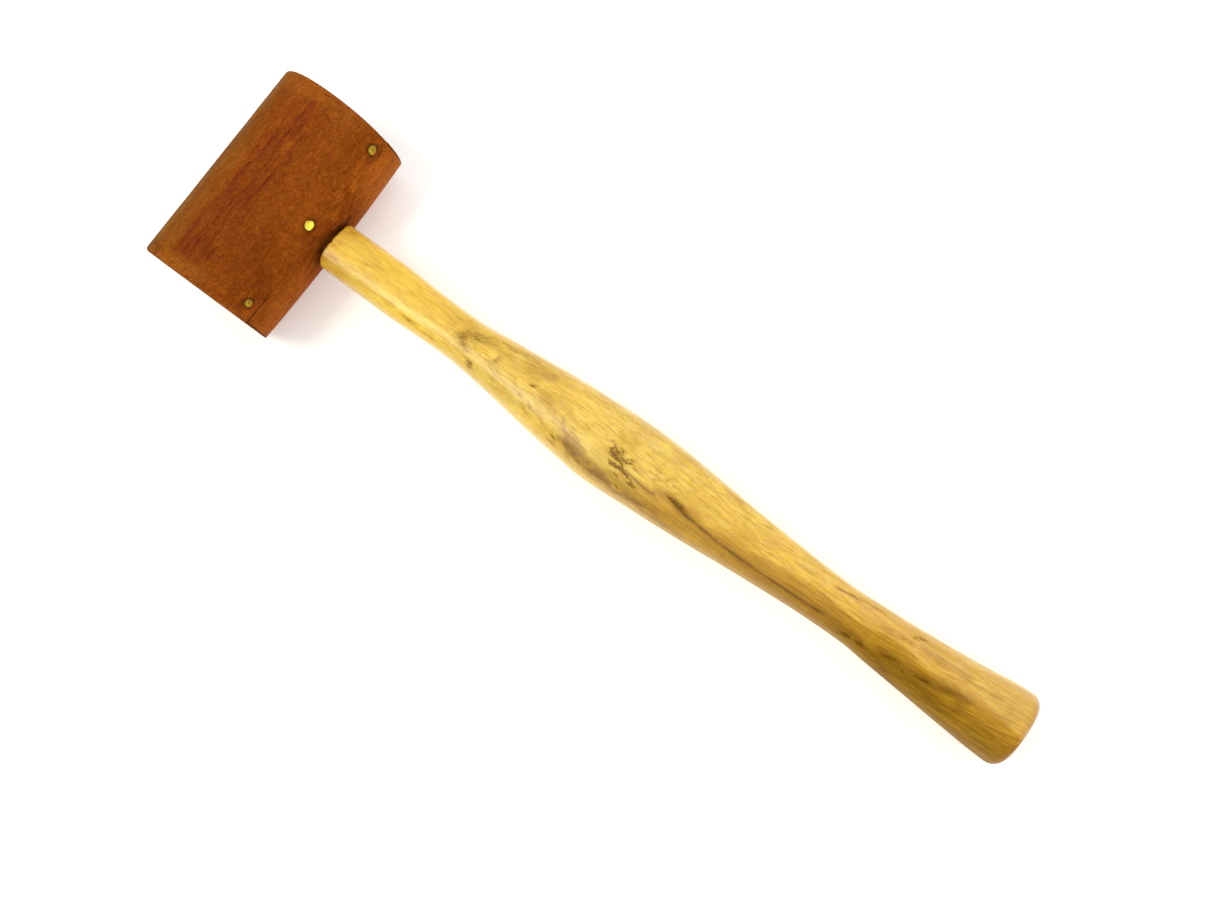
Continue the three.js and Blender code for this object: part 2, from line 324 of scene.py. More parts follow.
# ------------------------------------------------------------------ shader helpers
COLOUR, VECTOR, FACTOR = 0, 1, 2  # outputs of an attribute node


class Socket:
    """A node's output; arithmetic and these methods add the nodes that work on it."""

    def __init__(self, net, output):
        self.net, self.output = net, output

    def __add__(self, other):
        return self.net.math("ADD", self, other)

    def __sub__(self, other):
        return self.net.math("SUBTRACT", self, other)

    def __rsub__(self, other):
        return self.net.math("SUBTRACT", other, self)

    def __mul__(self, other):
        return self.net.math("MULTIPLY", self, other)

    def ease(self, low, high):
        """Smooth step from 0 at low to 1 at high."""
        values = (self, low, high, 0.0, 1.0)
        return self.net.add("MapRange", values, interpolation_type="SMOOTHSTEP")

    def span(self, low, high, start=0.0, end=1.0):
        """Straight from start at low to end at high."""
        values = (self, low, high, start, end)
        return self.net.add("MapRange", values, interpolation_type="LINEAR", clamp=True)

    def mix(self, amount, colour):
        return self.net.mix(amount, self, colour)

    def times(self, colour):
        return self.net.mix(1.0, self, colour, "MULTIPLY")

    def bump(self, strength, distance):
        inputs = {"Strength": strength, "Distance": distance, "Height": self}
        return self.net.add("Bump", inputs)

    def split(self):
        first = self.net.add("SeparateXYZ", (self,))
        return [Socket(self.net, output) for output in first.output.node.outputs]


class Net:
    """A material's nodes. A tuple of three is a 0-255 colour, one of four is linear."""

    def __init__(self, name):
        self.material = bpy.data.materials.new(name)
        self.material.use_nodes = True
        self.tree = self.material.node_tree
        self.tree.nodes.clear()

    def put(self, target, value):
        if isinstance(value, Socket):
            self.tree.links.new(value.output, target)
        elif isinstance(value, tuple) and len(value) == 3:
            target.default_value = srgb(*value) + (1.0,)
        else:
            target.default_value = value

    def add(self, kind, inputs=(), out=0, **settings):
        """Adds a node, fills its inputs in order or by name, and gives one of its outputs."""
        node = self.tree.nodes.new("ShaderNode" + kind)
        for key, value in settings.items():
            setattr(node, key, value)
        pairs = inputs.items() if isinstance(inputs, dict) else enumerate(inputs)
        for key, value in pairs:
            self.put(node.inputs[key], value)
        return Socket(self, node.outputs[out])

    def finish(self, shader):
        output = self.tree.nodes.new("ShaderNodeOutputMaterial")
        self.put(output.inputs[0], shader)
        return self.material

    def principled(self, **inputs):
        named = {key.replace("_", " "): value for key, value in inputs.items()}
        return self.finish(self.add("BsdfPrincipled", named))

    def math(self, operation, *values):
        return self.add("Math", values, operation=operation)

    def vec(self, x, y, z):
        return self.add("CombineXYZ", (x, y, z))

    def attribute(self, name, out=FACTOR):
        return self.add("Attribute", out=out, attribute_name=name)

    def noise(self, vector, detail, rough, warp=0.0, scale=1.0):
        inputs = {"Vector": vector, "Scale": scale, "Detail": detail, "Roughness": rough}
        return self.add("TexNoise", inputs | {"Distortion": warp})

    def voronoi(self, vector, scale):
        return self.add("TexVoronoi", {"Vector": vector, "Scale": scale})

    def mix(self, amount, under, top, mode="MIX"):
        inputs = {0: amount, 6: under, 7: top}
        return self.add("Mix", inputs, out=2, data_type="RGBA", blend_type=mode)

    def ramp(self, value, stops):
        ramp = self.add("ValToRGB", (value,))
        elements = ramp.output.node.color_ramp.elements
        while len(elements) > 1:
            elements.remove(elements[-1])
        for i, (position, colour) in enumerate(stops):
            element = elements.new(position) if i else elements[0]
            element.position = position
            element.color = srgb(*colour) + (1.0,)
        return ramp

    def head_mm(self):
        """Object coordinates as millimetres from the head's centre."""
        axes = self.add("TexCoord", out="Object").split()
        return [(axis - middle) * 1000.0 for axis, middle in zip(axes, HEAD_CENTRE)]


# ------------------------------------------------------------------ rawhide roll
def seam_lift(y):
    """Thickness of the strip's free edge: open at the -Y end, thin along the rest."""
    return 0.10 + 0.30 * (1 - ease(-34, -22, y)) + 0.05 * vnoise(y * 0.11, 3.1, seed=5)


def joint_radius(sweep, y):
    """Middle of the joint between a turn and the next one out."""
    spiral = CORE_R + PITCH * sweep / TAU
    target = HEAD_R - seam_lift(y) - JOINT / 2
    rise = ease(LAST_TURN - 16 * DEG, LAST_TURN, sweep)
    final = CORE_R + PITCH * (TURNS - 1)
    wave = 0.10 * vnoise(sweep * 1.3, y * 0.03, seed=9)
    wave = wave * band(sweep, 0, 2, LAST_TURN - 1.2, LAST_TURN - 0.3)
    return spiral + (target - final) * rise + wave


def skin_radius(angle, y):
    """Outside of the roll."""
    side = bell(wrapped(angle - 105 * DEG), 48 * DEG)
    radius = HEAD_R + side * (0.32 - 0.95 * (y / HEAD_HALF) ** 2)
    radius = radius + 0.10 * fbm(angle * HEAD_R * 0.045, y * 0.03, 1.7, 3, seed=2)
    radius = radius + 0.022 * fbm(angle * HEAD_R * 0.30, y * 0.12, 4.2, 3, seed=3)
    # shallow dishes round the nails
    for nail in NAILS.values():
        arc = wrapped(angle - nail["deg"] * DEG) * HEAD_R
        radius = radius - 0.16 * bell(np.hypot(arc, y - nail["y"]), 3.2)
    arc = wrapped(angle - 7 * DEG) * HEAD_R
    return radius - 0.22 * bell(y - NICK_Y, 0.26) * np.exp(-((arc / 1.9) ** 4))


def roll_outer(sweep, y):
    """Outer face of the strip; its free edge is rubbed down just before the end."""
    angle = sweep - SWEEP_END + SEAM
    joint = joint_radius(sweep, y) - JOINT / 2
    bare = ease(LAST_TURN + 0.3 * DEG, LAST_TURN + 1.5 * DEG, sweep)
    radius = joint * (1 - bare) + skin_radius(angle, y) * bare
    return radius - 0.10 * ease(SWEEP_END - 1.3 * DEG, SWEEP_END, sweep) ** 2


def roll_inner(sweep, y):
    return np.where(sweep < TAU, 0.34, joint_radius(sweep - TAU, y) + JOINT / 2)


def round_off(part):
    """Drop of a quarter-round, 0 to 1 of its radius."""
    return 1 - np.sqrt(1 - np.clip(part, 0, 1) ** 2)


def strip_edge(sweep, side, seed):
    """Radius and Y across one cut edge of the strip, from its outer face inwards."""
    depths = np.array([0, 0.012, 0.035, 0.08, 0.15, 0.24, 0.4, 0.6, 0.8, 0.93, 0.975, 1.0])[None]
    covered = (sweep <= LAST_TURN).astype(float)
    edge = END_Y - 0.12 * (vnoise(sweep * 0.55, 7.7, seed=seed) * 0.5 + 0.5) * covered
    outer = roll_outer(sweep, side * edge)
    thick = np.maximum(outer - roll_inner(sweep, side * edge), 0.03)
    radius = outer - thick * depths
    deep = outer - radius
    y = edge - RIM_R * round_off((radius - (HEAD_R - RIM_R)) / RIM_R)
    y = y - covered * STRIP_R * round_off(1 - deep / STRIP_R)
    inner_round = np.minimum(STRIP_R, thick * 0.4)
    y = y - inner_round * round_off(1 - (thick - deep) / inner_round)
    # each turn's cut edge is faintly crowned, and its fibres stand up unevenly
    y = y - 0.035 * np.abs(2 * deep / thick - 1) ** 2 * covered
    angle = sweep - SWEEP_END + SEAM
    across_x, across_z = radius * np.sin(angle) * 0.55, radius * np.cos(angle) * 0.55
    fibres = fbm(across_x, across_z, side * 4.0, 3, seed=13)
    y = y + 0.035 * fibres * np.clip((HEAD_R - 1.6 - radius) / 1.0, 0, 1)
    return radius, side * y


def bore_cutter():
    angle = np.linspace(0, TAU, 72, endpoint=False)
    radius, reach = TENON_R + 0.13, 32
    rings = [
        np.stack([np.full(72, x), radius * np.cos(angle), radius * np.sin(angle)], -1)
        for x in (-reach, reach)
    ]
    return closed_tube("c_bore", rings, [-reach, 0, 0], [reach, 0, 0])


def build_roll():
    """The hide strip as one closed spiral, with its cut edges forming the two faces."""
    near = [-15.5, -12.5, -10, -8, -6, -4.5, -3, -2, -1, -0.4, 0]
    step = [0.35, 0.5, 0.65, 0.8, 1.0, 1.2, 1.45, 1.8, 2.4, 3.2]
    sweep = np.concatenate([
        np.arange(0, LAST_TURN - 16 * DEG, TAU / 66),
        LAST_TURN + np.array(near + step) * DEG,
        np.linspace(LAST_TURN + 4.2 * DEG, SWEEP_END - 1.6 * DEG, 296),
        SWEEP_END - np.array([0.9, 0.35, 0.12, 0.0]) * DEG,
    ])[:, None]
    even = np.linspace(-1, 1, 81)
    places = 0.72 * even + 0.28 * np.sin(even * math.pi / 2)  # closer together at the rims

    plus_r, plus_y = strip_edge(sweep, 1, 11)
    minus_r, minus_y = strip_edge(sweep, -1, 12)
    part = (places[None, 1:-1] + 1) / 2
    outer_y = minus_y[:, :1] * (1 - part) + plus_y[:, :1] * part
    outer_r = roll_outer(np.broadcast_to(sweep, outer_y.shape), outer_y)
    part = (np.arange(9)[None] + 1) / 10
    inner_y = plus_y[:, -1:] * (1 - part) + minus_y[:, -1:] * part
    inner_r = roll_inner(np.broadcast_to(sweep, inner_y.shape), inner_y)
    # outer face from -Y to +Y, +Y edge inwards, inner face back, -Y edge outwards
    radius = np.concatenate([outer_r, plus_r, inner_r, minus_r[:, ::-1]], 1)
    y = np.concatenate([outer_y, plus_y, inner_y, minus_y[:, ::-1]], 1)
    angle = sweep - SWEEP_END + SEAM
    verts = np.stack([radius * np.sin(angle), y, radius * np.cos(angle)], -1).reshape(-1, 3)
    rings, count = radius.shape
    faces = tube_faces(rings, count, closed=False)
    faces += [list(range(count)), [(rings - 1) * count + i for i in range(count)][::-1]]
    ob = mesh_object("rawhide_roll_hide", verts, faces)

    def split_ends(work):
        ends = [face for face in work.faces if len(face.verts) > 4]
        bmesh.ops.triangulate(work, faces=ends)

    edit_mesh(ob.data, split_ends)
    cutters = [bore_cutter()]
    cutters += [nail_solid("c_" + name, nail, grow=0.11) for name, nail in NAILS.items()]
    cut(ob, cutters, 38)
    paint_roll(ob.data)
    return ob


def lamination(points):
    """How far each point is through its turn (0 inner face, 1 outer), and which turn it is."""
    x, y, z = points.T
    radius = np.hypot(x, z)
    base = (np.arctan2(x, z) - SEAM + SWEEP_END) % TAU
    through, turn = np.full(len(points), 0.5), np.zeros(len(points))
    y = np.clip(y, -END_Y, END_Y)
    for k in range(int(TURNS) + 2):
        sweep = np.minimum(base + k * TAU, SWEEP_END)
        outer, inner = roll_outer(sweep, y), roll_inner(sweep, y)
        here = (radius > inner - 0.075) & (radius < outer + 0.075)
        here = here & (base + k * TAU <= SWEEP_END + 1e-3)
        through = np.where(here, (radius - inner) / np.maximum(outer - inner, 0.05), through)
        turn = np.where(here, k, turn)
    return np.clip(through, 0, 1), turn


RED, DEEP, PLUM = (128, 54, 24), (108, 38, 20), (98, 32, 20)
# Grain streaks along the head: points (Y, degrees), width in mm, amount, colour, fraying
STREAKS = [
    ([(-37, -10), (-26, -8), (-10, -7), (6, -5), (22, -6), (35, -7)], 7.2, 0.42, RED, 1.6),
    ([(4, -12), (14, -9), (24, -5), (35, -4)], 4.6, 0.52, (120, 46, 24), 1.6),
    ([(-36, -19.5), (-24, -20), (-8, -18.5), (6, -16)], 0.75, 0.62, DEEP, 0.7),
    ([(-36, -12.5), (-30, -11.5), (-22, -11)], 2.1, 0.6, PLUM, 1.3),
    ([(-32, -3), (-27, -4), (-22, -5)], 1.3, 0.4, DEEP, 1.2),
    ([(-34, 4), (-29, 5), (-25, 5)], 1.6, 0.5, PLUM, 1.2),
    ([(-24, 1), (-12, 0.5), (-3, 1.5)], 0.9, 0.3, DEEP, 1),
    ([(-17, -8), (-8, -5.5), (2, -4), (9, -3)], 1.2, 0.5, DEEP, 0.9),
    ([(-12, -14), (0, -13), (12, -12)], 1.2, 0.45, DEEP, 1),
    ([(-9, 2.5), (-1, 3.5), (6, 5.5), (14, 8.5)], 0.95, 0.68, PLUM, 0.8),
    ([(3, -3), (10, -1.5), (18, 1.5), (24, 3)], 1.4, 0.58, PLUM, 0.9),
    ([(6, -16), (12, -14.5), (20, -12.5)], 0.9, 0.52, DEEP, 0.8),
    ([(14, -10), (20, -7), (27, -4.5)], 1.8, 0.45, PLUM, 1.2),
    ([(-16, 34), (-9, 33.5), (-3, 34)], 0.55, 0.35, (112, 50, 18), 0.5),
    ([(-33, 22), (-22, 26), (-8, 27), (4, 24)], 4, 0.18, (118, 50, 16), 2),
]
# Stains and painted shade: arc and Y of the middle, half sizes along both (mm), amount, colour,
# roughness
STAINS_AND_SHADE = [
    # the first two, round the handle's root, are partly a real stain and partly painted shadow where
    # the handle meets the head
    (30.5, 0.5, 8.5, 16, 0.62, (116, 49, 12), 0.7), (36.5, 1, 5.5, 12.5, 0.8, (84, 31, 9), 0.5),
    (28.5, 12, 3.6, 8, 0.35, (114, 46, 13), 0.8), (28.6, 20, 2.2, 4.5, 0.4, (108, 46, 14), 0.8),
    (25.6, 33.4, 2.9, 6.6, 0.72, (92, 40, 14), 0.7), (27.2, 33, 1, 5.5, 0.45, (84, 40, 18), 0.6),
    (22, -26, 4.4, 8, 0.5, (112, 50, 14), 0.9), (25, -31, 3, 8, 0.42, (106, 48, 14), 0.8),
    (20.6, -37.5, 5.5, 4, 0.35, (112, 54, 17), 0.8), (16, -15, 5, 14, 0.22, (118, 52, 15), 1),
    (-23, -37.5, 8.5, 3.6, 0.45, (108, 62, 24), 0.8), (11, 24, 5, 9, 0.22, (166, 88, 30), 1),
    (13.5, -2, 6, 14, 0.16, (160, 84, 26), 1),
]


def paint_outside(points, deg, mottle):
    """Ground colours, streaks, stains, painted sheen and painted shadow of the outside; also gives the
    streaks' strength.
    """
    x, y, z = points.T
    arc = deg * math.pi / 180 * HEAD_R
    broad = stretched(points, (0.05, 0.05, 0.05), 3, 0.5, 101)
    long = stretched(points, (0.17, 0.03, 0.17), 4, 0.6, 102)
    slant = fbm((x + z) * 0.5 - y * 0.30, (x - z) * 0.5, y * 0.12, 4, 0.6, seed=104)
    stray = 14 * stretched(points, (0.08, 0.045, 0.08), 3, 0.5, 105)

    hide = Paint((144, 71, 20), 0.09 * broad + 0.08 * long + 0.05 * mottle + 0.05 * slant)
    hide.over(ease(0.15, 0.75, long + 0.4 * slant) * 0.35, (158, 80, 24))
    hide.over(ease(0.15, 0.75, -long + 0.4 * mottle) * 0.35, (122, 56, 16))
    # olive-brown belt on the side away from the handle
    olive = band(deg + stray, -178, -120, -44, -22)
    hide.over(olive * (0.82 + 0.25 * mottle), (146, 84, 27))
    hide.over(olive * ease(0.0, 0.7, long + 0.3 * slant) * 0.45, (160, 100, 42))
    # lighter band towards the -X edge: partly the hide's olive tone, partly painted sheen where the
    # hide turns away at a grazing angle
    pale = (1 - ease(-52, -44, deg + 0.3 * stray)) * ease(-100, -70, deg)
    hide.over(pale * (0.45 + 0.3 * long), (162, 104, 48))
    # warm hide beside the handle
    side = ease(60, 84, deg + 0.6 * stray) * (1 - ease(118, 150, deg + stray))
    side = side * ease(9, 22, np.abs(y - 1.0) + 0.2 * stray)
    hide.over(side * 0.70 * np.clip(0.75 + 0.5 * slant, 0, 1), (170, 92, 32))
    hide.over(side * ease(8, 30, y) * 0.45, (180, 102, 40))
    # lighter towards both rims
    plus = ease(27, 38, y + 0.2 * stray) * (1 - ease(22, 46, deg + stray * 0.5))
    minus = ease(33.5, 38.5, -y + 0.1 * stray)
    minus = minus * (1 - ease(18, 34, np.abs(deg + 12) + 0.4 * stray))
    hide.over(plus * 0.60 * np.clip(0.8 + 0.6 * mottle, 0, 1), (164, 94, 36))
    hide.over(minus * 0.75, (158, 88, 32))

    strength = np.zeros(len(points))
    fine = fbm(arc * 1.1, y * 0.08, 3.0, 3, 0.6, seed=106)
    coarse = fbm(arc * 0.4, y * 0.20, 9.0, 3, 0.6, seed=107)
    broken = np.clip(0.72 + 0.85 * fine + 0.5 * coarse, 0, 1.15)
    for spine, width, amount, colour, fray in STREAKS:
        rows = np.array(spine, float)
        first, last = rows[0, 0], rows[-1, 0]
        away = (deg - curve(rows, 1, y)) * MM_PER_DEG + fray * (0.55 * slant + 0.35 * mottle)
        mask = bell(away, width) * band(y, first, first + 3.5, last - 3.5, last) * broken
        hide.over(mask * amount, colour)
        strength = np.maximum(strength, mask * min(1.0, amount * 1.5))
    for arc_0, y_0, half_arc, half_y, amount, colour, rough in STAINS_AND_SHADE:
        away = np.hypot((arc - arc_0) / half_arc, (y - y_0) / half_y)
        away = away + rough * (0.55 * mottle + 0.45 * slant)
        hide.over((1 - ease(0.2, 1.15, away)) * amount, colour)
    return hide, strength


def paint_cut_faces(points, angle, radius, through, turn):
    """Colour of the strip's cut edges."""
    x, y, z = points.T
    along = (angle - SEAM + SWEEP_END) % TAU + turn * TAU  # sweep from the middle of the coil
    grit = fbm(x * 0.9, z * 0.9, y * 0.2, 4, 0.62, seed=120)
    layers = fbm(x * 0.16, z * 0.16, through * 3.6 + along * 0.5, 4, 0.6, seed=121)
    cloud = fbm(x * 0.11, z * 0.11, np.sign(y) * 9.0, 3, 0.55, seed=122)
    face = Paint((150, 98, 46), 0.20 * layers + 0.12 * grit + 0.12 * cloud)
    face.over(0.25 + 0.30 * vnoise(along * 0.62 + 0.5, 1.3, 2.0, seed=123), (124, 72, 30))
    face.over(ease(0.66, 1.0, through) * 0.60, (98, 50, 20))
    face.over((1 - ease(0.0, 0.16, through)) * 0.45, (108, 62, 28))
    face.over(ease(0.1, 0.7, cloud + 0.3 * grit) * 0.42, (112, 64, 28))
    face.over(ease(HEAD_R - 3.2, HEAD_R - 0.6, radius + 0.5 * grit) * 0.55, (132, 68, 24))
    ends = ease(END_Y - 0.85, END_Y - 0.30, np.abs(y) + 0.06 * grit)
    return face, ends


def paint_roll(mesh):
    """Tints, streaks and layering of the hide, as attributes."""
    points = mesh_points(mesh)
    x, y, z = points.T
    radius, angle = np.hypot(x, z), np.arctan2(x, z)
    deg, arc = np.degrees(angle), angle * HEAD_R
    sheet = points - (0, SHEET_Y, 0)
    mottle = stretched(sheet, (0.42, 0.30, 0.42), 4, 0.6, 103)
    hide, streaks = paint_outside(sheet, deg - SHEET_DEG, mottle)
    for nail in NAILS.values():
        away = np.hypot(arc - nail["deg"] * DEG * HEAD_R, y - nail["y"]) + 0.25 * mottle
        hide.over((1 - ease(nail["r"], nail["r"] + 1.5, away)) * 0.72, (74, 32, 9))

    through, turn = lamination(points)
    face, ends = paint_cut_faces(points, angle, radius, through, turn)
    hide.over(ends, face.rgb)
    # the rims are rubbed lighter
    rim = ease(END_Y - 1.35, END_Y - 0.75, np.abs(y) + 0.12 * mottle)
    rim = rim * ease(HEAD_R - 1.5, HEAD_R - 0.9, radius) * (1 - 0.5 * ends)
    hide.over(rim * (0.45 + 0.5 * mottle), (168, 92, 38))
    # deep inside the joints and bores nothing has been finished
    hidden = ((radius < HEAD_R - 1.2) & (np.abs(y) < END_Y - 0.5)) * 1.0
    hide.over(hidden, (112, 66, 30))
    hide.gain(bell(deg - 22, 16), (-0.12, -0.14, -0.05))
    hide.gain(bell(deg - 68, 11) * band(y, -6, 6, 36, 40), (0.26, 0.34, 0.22))
    # painted shade on the side away from the handle: darker and much less blue, holding down the
    # grazing reflection there
    far_side_painted_shade = np.clip(-(deg + 18) / 40, 0, 1) * (1 - 0.35 * ease(58, 78, -deg))
    far_side_painted_shade = far_side_painted_shade * ease(-176, -100, deg) * (1 - 0.8 * ends)
    hide.gain(far_side_painted_shade, (-0.38, -0.42, -0.84))
    hide.store(mesh, (0.97, 0.97, 0.78))

    # seam line: strong at the -Y end, nearly lost along the rest; partly the hide's own dark edge,
    # partly painted shadow in the gap under the strip's free edge
    strength = [0.95, 0.72, 0.42, 0.16, 0.08, 0.14, 0.30]
    seam = bell(np.abs(deg - (SEAM_DEG - 0.1)) * MM_PER_DEG, 0.42)
    seam = seam * np.interp(y, [-40, -29, -25, -18, -4, 20, 40], strength)
    seam = seam * (np.abs(deg - SEAM_DEG) < 8)
    nick = bell(y - NICK_Y, 0.42) * np.exp(-(((arc - 3.1) / 2.0) ** 4))
    store(mesh, "streaks", np.clip(streaks, 0, 1) * (1 - ends) * (1 - hidden))
    store(mesh, "lam", np.stack([ends, through, np.clip(seam + 0.8 * nick, 0, 1)], -1))


# ------------------------------------------------------------------ nails
def nail_axes(nail):
    """Turns a piece built along +Z onto the nail's radial line; the columns are its axes."""
    angle = math.radians(nail["deg"])
    out = np.array([math.sin(angle), 0, math.cos(angle)])
    side = np.array([0.0, 1.0, 0.0])
    return np.stack([np.cross(side, out), side, out], 1)


def nail_outline(angle, seed, amount=0.11):
    """Hammered, slightly out-of-round outline of a nail head."""
    c, s = np.cos(angle), np.sin(angle)
    coarse = amount * vnoise(c * 1.3 + 5, s * 1.3 + 5, seed * 3.7, seed=seed)
    return 1 + coarse + 0.45 * amount * vnoise(c * 3.1 + 9, s * 3.1, seed * 1.9, seed=seed + 1)


def nail_solid(name, nail, grow=None):
    """A nail, or with grow the cutter for its hole, that much wider all round."""
    seed, head_r, tip = nail["seed"], nail["r"], nail["tip"]
    solid = grow is None
    count = 72
    angle = np.linspace(0, TAU, count, endpoint=False)
    outline = nail_outline(angle, seed)
    top = HEAD_R - 0.10
    dome = 0.13
    # profile as radius and height along the nail
    if solid:
        profile = [
            (0.42, tip + 0.4), (0.85, tip + 1.9), (1.2, tip + 3.2), (1.2, top - 2.0),
            (head_r - 0.15, top - 0.75), (head_r, top - 0.42), (head_r, top - 0.12),
            (head_r - 0.03, top - 0.05), (head_r - 0.10, top),
        ]
        for part in (0.9, 0.8, 0.68, 0.55, 0.42, 0.29, 0.16, 0.07):
            profile.append((head_r * part, top + dome * (1 - part * part)))
        low = tip
        high = top + dome + 0.05 * float(fbm(0.0, 0.0, seed, 3, seed=seed))
    else:
        wide = head_r + grow
        profile = [
            (0.42 + grow, tip + 0.35), (1.2 + grow, tip + 3.1), (1.2 + grow, top - 2.0),
            (head_r - 0.15 + grow, top - 0.8), (wide, top - 0.4), (wide, top + 0.02),
            (wide + 0.06, top + 0.12), (wide + 0.22, top + 0.42), (wide + 0.22, top + 3),
        ]
        low, high = tip - grow, top + 3
    axes = nail_axes(nail)
    rings = []
    for radius, height in profile:
        shape = outline if radius > 1.45 else np.ones(count)
        if solid and height > top - 0.02 and radius < head_r * 0.95:
            shape = 1 + (outline - 1) * (radius / head_r)
        x, y = radius * shape * np.cos(angle), radius * shape * np.sin(angle)
        z = np.full(count, float(height))
        if solid and height > top - 0.2:
            z = z + 0.05 * fbm(x * 0.8, y * 0.8, seed, 3, seed=seed) + 0.03 * x / head_r
        rings.append(np.stack([x, y, z], -1))
    shift = (0.0, nail["y"], 0.0)
    rings = [ring @ axes.T + shift for ring in rings]
    start, end = np.array([[0, 0, low], [0, 0, high]]) @ axes.T + shift
    return closed_tube(name, rings, start, end, 32 if solid else 0)


# ------------------------------------------------------------------ handle shape
def half_width(x, side):
    return np.where(side > 0, curve(OUTLINE, 1, x), curve(OUTLINE, 2, x))


def section(x, phi):
    """Radius of the handle's section in the direction phi (0 is +Y, 90 degrees is +Z)."""
    c, s = np.cos(phi), np.sin(phi)
    power = curve(SQUARENESS, 1, x)
    flat, tall = np.abs(c) / half_width(x, c), np.abs(s) / curve(THICKNESS, 1, x)
    return (flat**power + tall**power) ** (-1 / power)


def handle_skin(x, phi):
    """The section with spokeshaved facets and sanding waves."""
    c, s = np.cos(phi), np.sin(phi)
    radius = section(x, phi)
    radius = radius + 0.07 * vnoise(x * 0.035, c * 1.6, s * 1.6, seed=41) * ease(30, 45, x)
    radius = radius + 0.035 * fbm(x * 0.05, c * 6, s * 6, 3, seed=42)
    return radius + 0.012 * fbm(x * 0.16, c * 22, s * 22, 2, seed=43)


def kerf_cutter():
    """The wedge's slot: its taper, a little wider and longer, and open past the tenon's end."""
    wide, tip = WEDGE_THICK / 2 + 0.06, WEDGE_TIP / 2 + 0.06
    back, mouth, end = -HEAD_R - 3.0, -HEAD_R, -HEAD_R + WEDGE_L + 1.0
    outline = [(back, -wide), (mouth, -wide), (end, -tip), (end, tip), (mouth, wide), (back, wide)]
    verts = [(x, y, z) for y in (-9, 9) for x, z in outline]
    faces = [[i, (i + 1) % 6, (i + 1) % 6 + 6, i + 6] for i in range(6)]
    faces += [list(range(6))[::-1], list(range(6, 12))]
    return mesh_object("c_kerf", verts, faces)


def build_handle():
    count = 150
    phi = np.linspace(0, TAU, count, endpoint=False)
    c, s = np.cos(phi), np.sin(phi)
    rings = []

    def ring(x, radius):
        x = np.broadcast_to(np.asarray(x, float), (count,))
        rings.append(np.stack([x, radius * c, radius * s], -1))

    # tenon end, dressed flush with the round of the head
    end_r = HEAD_R - 0.02

    def flush(radius):
        return -np.sqrt(np.maximum(end_r**2 - (radius * s) ** 2, 0))

    for radius in (0.35, 1.2, 2.2, 3.2, 4.2, 5.0, TENON_R - 0.14):
        rough = fbm(c * radius * 0.8, s * radius * 0.8, 2.0, 3, seed=51)
        ring(flush(radius) - 0.03 * rough, radius)
    ring(flush(TENON_R) + 0.14, TENON_R)
    for x in np.linspace(-22.5, SEAT_X - 0.3, 14):
        ring(x, TENON_R)

    # shoulder, pared by hand: the edge wanders and is chipped near the top
    wander = (0.28 * fbm(c * 2.4, s * 2.4, 1.0, 3, seed=52)).clip(-0.1)
    notch = 0
    # depth of each chip, its direction in degrees and its width in radians
    for depth, centre, width in ((0.6, 87, 0.05), (0.45, 43, 0.1), (0.25, 62, 0.06), (0.3, 155, 0.12)):
        notch = notch + depth * bell(wrapped(phi - centre * DEG), width)
    notch = notch + 0.30 * ease(95, 84, np.degrees(phi)) * ease(5, 30, np.degrees(phi))
    shoulder = section(SHOULDER_X, phi)
    span = SHOULDER_X - SEAT_X
    arris = 0.5
    for part in (0.0, 0.25, 0.5, 0.75, 0.9, 0.97):
        radius = (TENON_R + 0.35) * (1 - part) + (shoulder - arris) * part
        ring(SEAT_X + (span + wander + notch) * part, radius)
    for deg in (75, 55, 38, 24, 11, 0):
        sine, cosine = math.sin(deg * DEG), math.cos(deg * DEG)
        x = SHOULDER_X + arris * (1 - sine) + (wander + notch) * (0.3 + 0.7 * sine)
        ring(x, section(SHOULDER_X + 0.3, phi) - arris * (1 - cosine) - notch * 0.30)
    for x in (28.5, 29.0, 29.5):
        ring(x, handle_skin(x, phi) - notch * 0.30 * (29.8 - x) / 1.8)
    for x in np.arange(30.0, BUTT_X - 5.0, 0.56):
        ring(x, handle_skin(x, phi))

    # butt: soft rounded arris and a nearly flat sawn end
    butt_round = 4.2
    inset = butt_round * 0.8
    for angle in np.linspace(4, 88, 15) * DEG:
        x = BUTT_X - butt_round + butt_round * math.sin(angle)
        ring(x - 0.05, handle_skin(x, phi) - inset * (1 - math.cos(angle)))
    end_face = handle_skin(BUTT_X, phi) - inset
    for part in (0.93, 0.82, 0.68, 0.54, 0.4, 0.27, 0.14, 0.05):
        radius = end_face * part
        rough = fbm(c * radius * 0.7, s * radius * 0.7, 0.3, 3, seed=55)
        ring(BUTT_X - 0.05 - 0.03 * (1 - part) + 0.012 * rough, radius)
    ob = closed_tube("handle_wood", rings, [-end_r, 0, 0], [BUTT_X - 0.08, 0, 0])
    cut(ob, [kerf_cutter(), nail_solid("c_n", NAILS["handle_nail"], grow=0.12)], 40)
    paint_handle(ob.data)
    return ob


# ------------------------------------------------------------------ handle figure
# X on the handle, and the X at which the figure has that place
FIGURE_TO = [0, 32.1, 63.4, 94.4, 125.0, 155.1, 184.8, 214.1, 243.1, 271.8, 300.1, 309.3]
FIGURE_FROM = [0, 30, 60, 90, 120, 150, 180, 210, 240, 270, 300, 309.3]
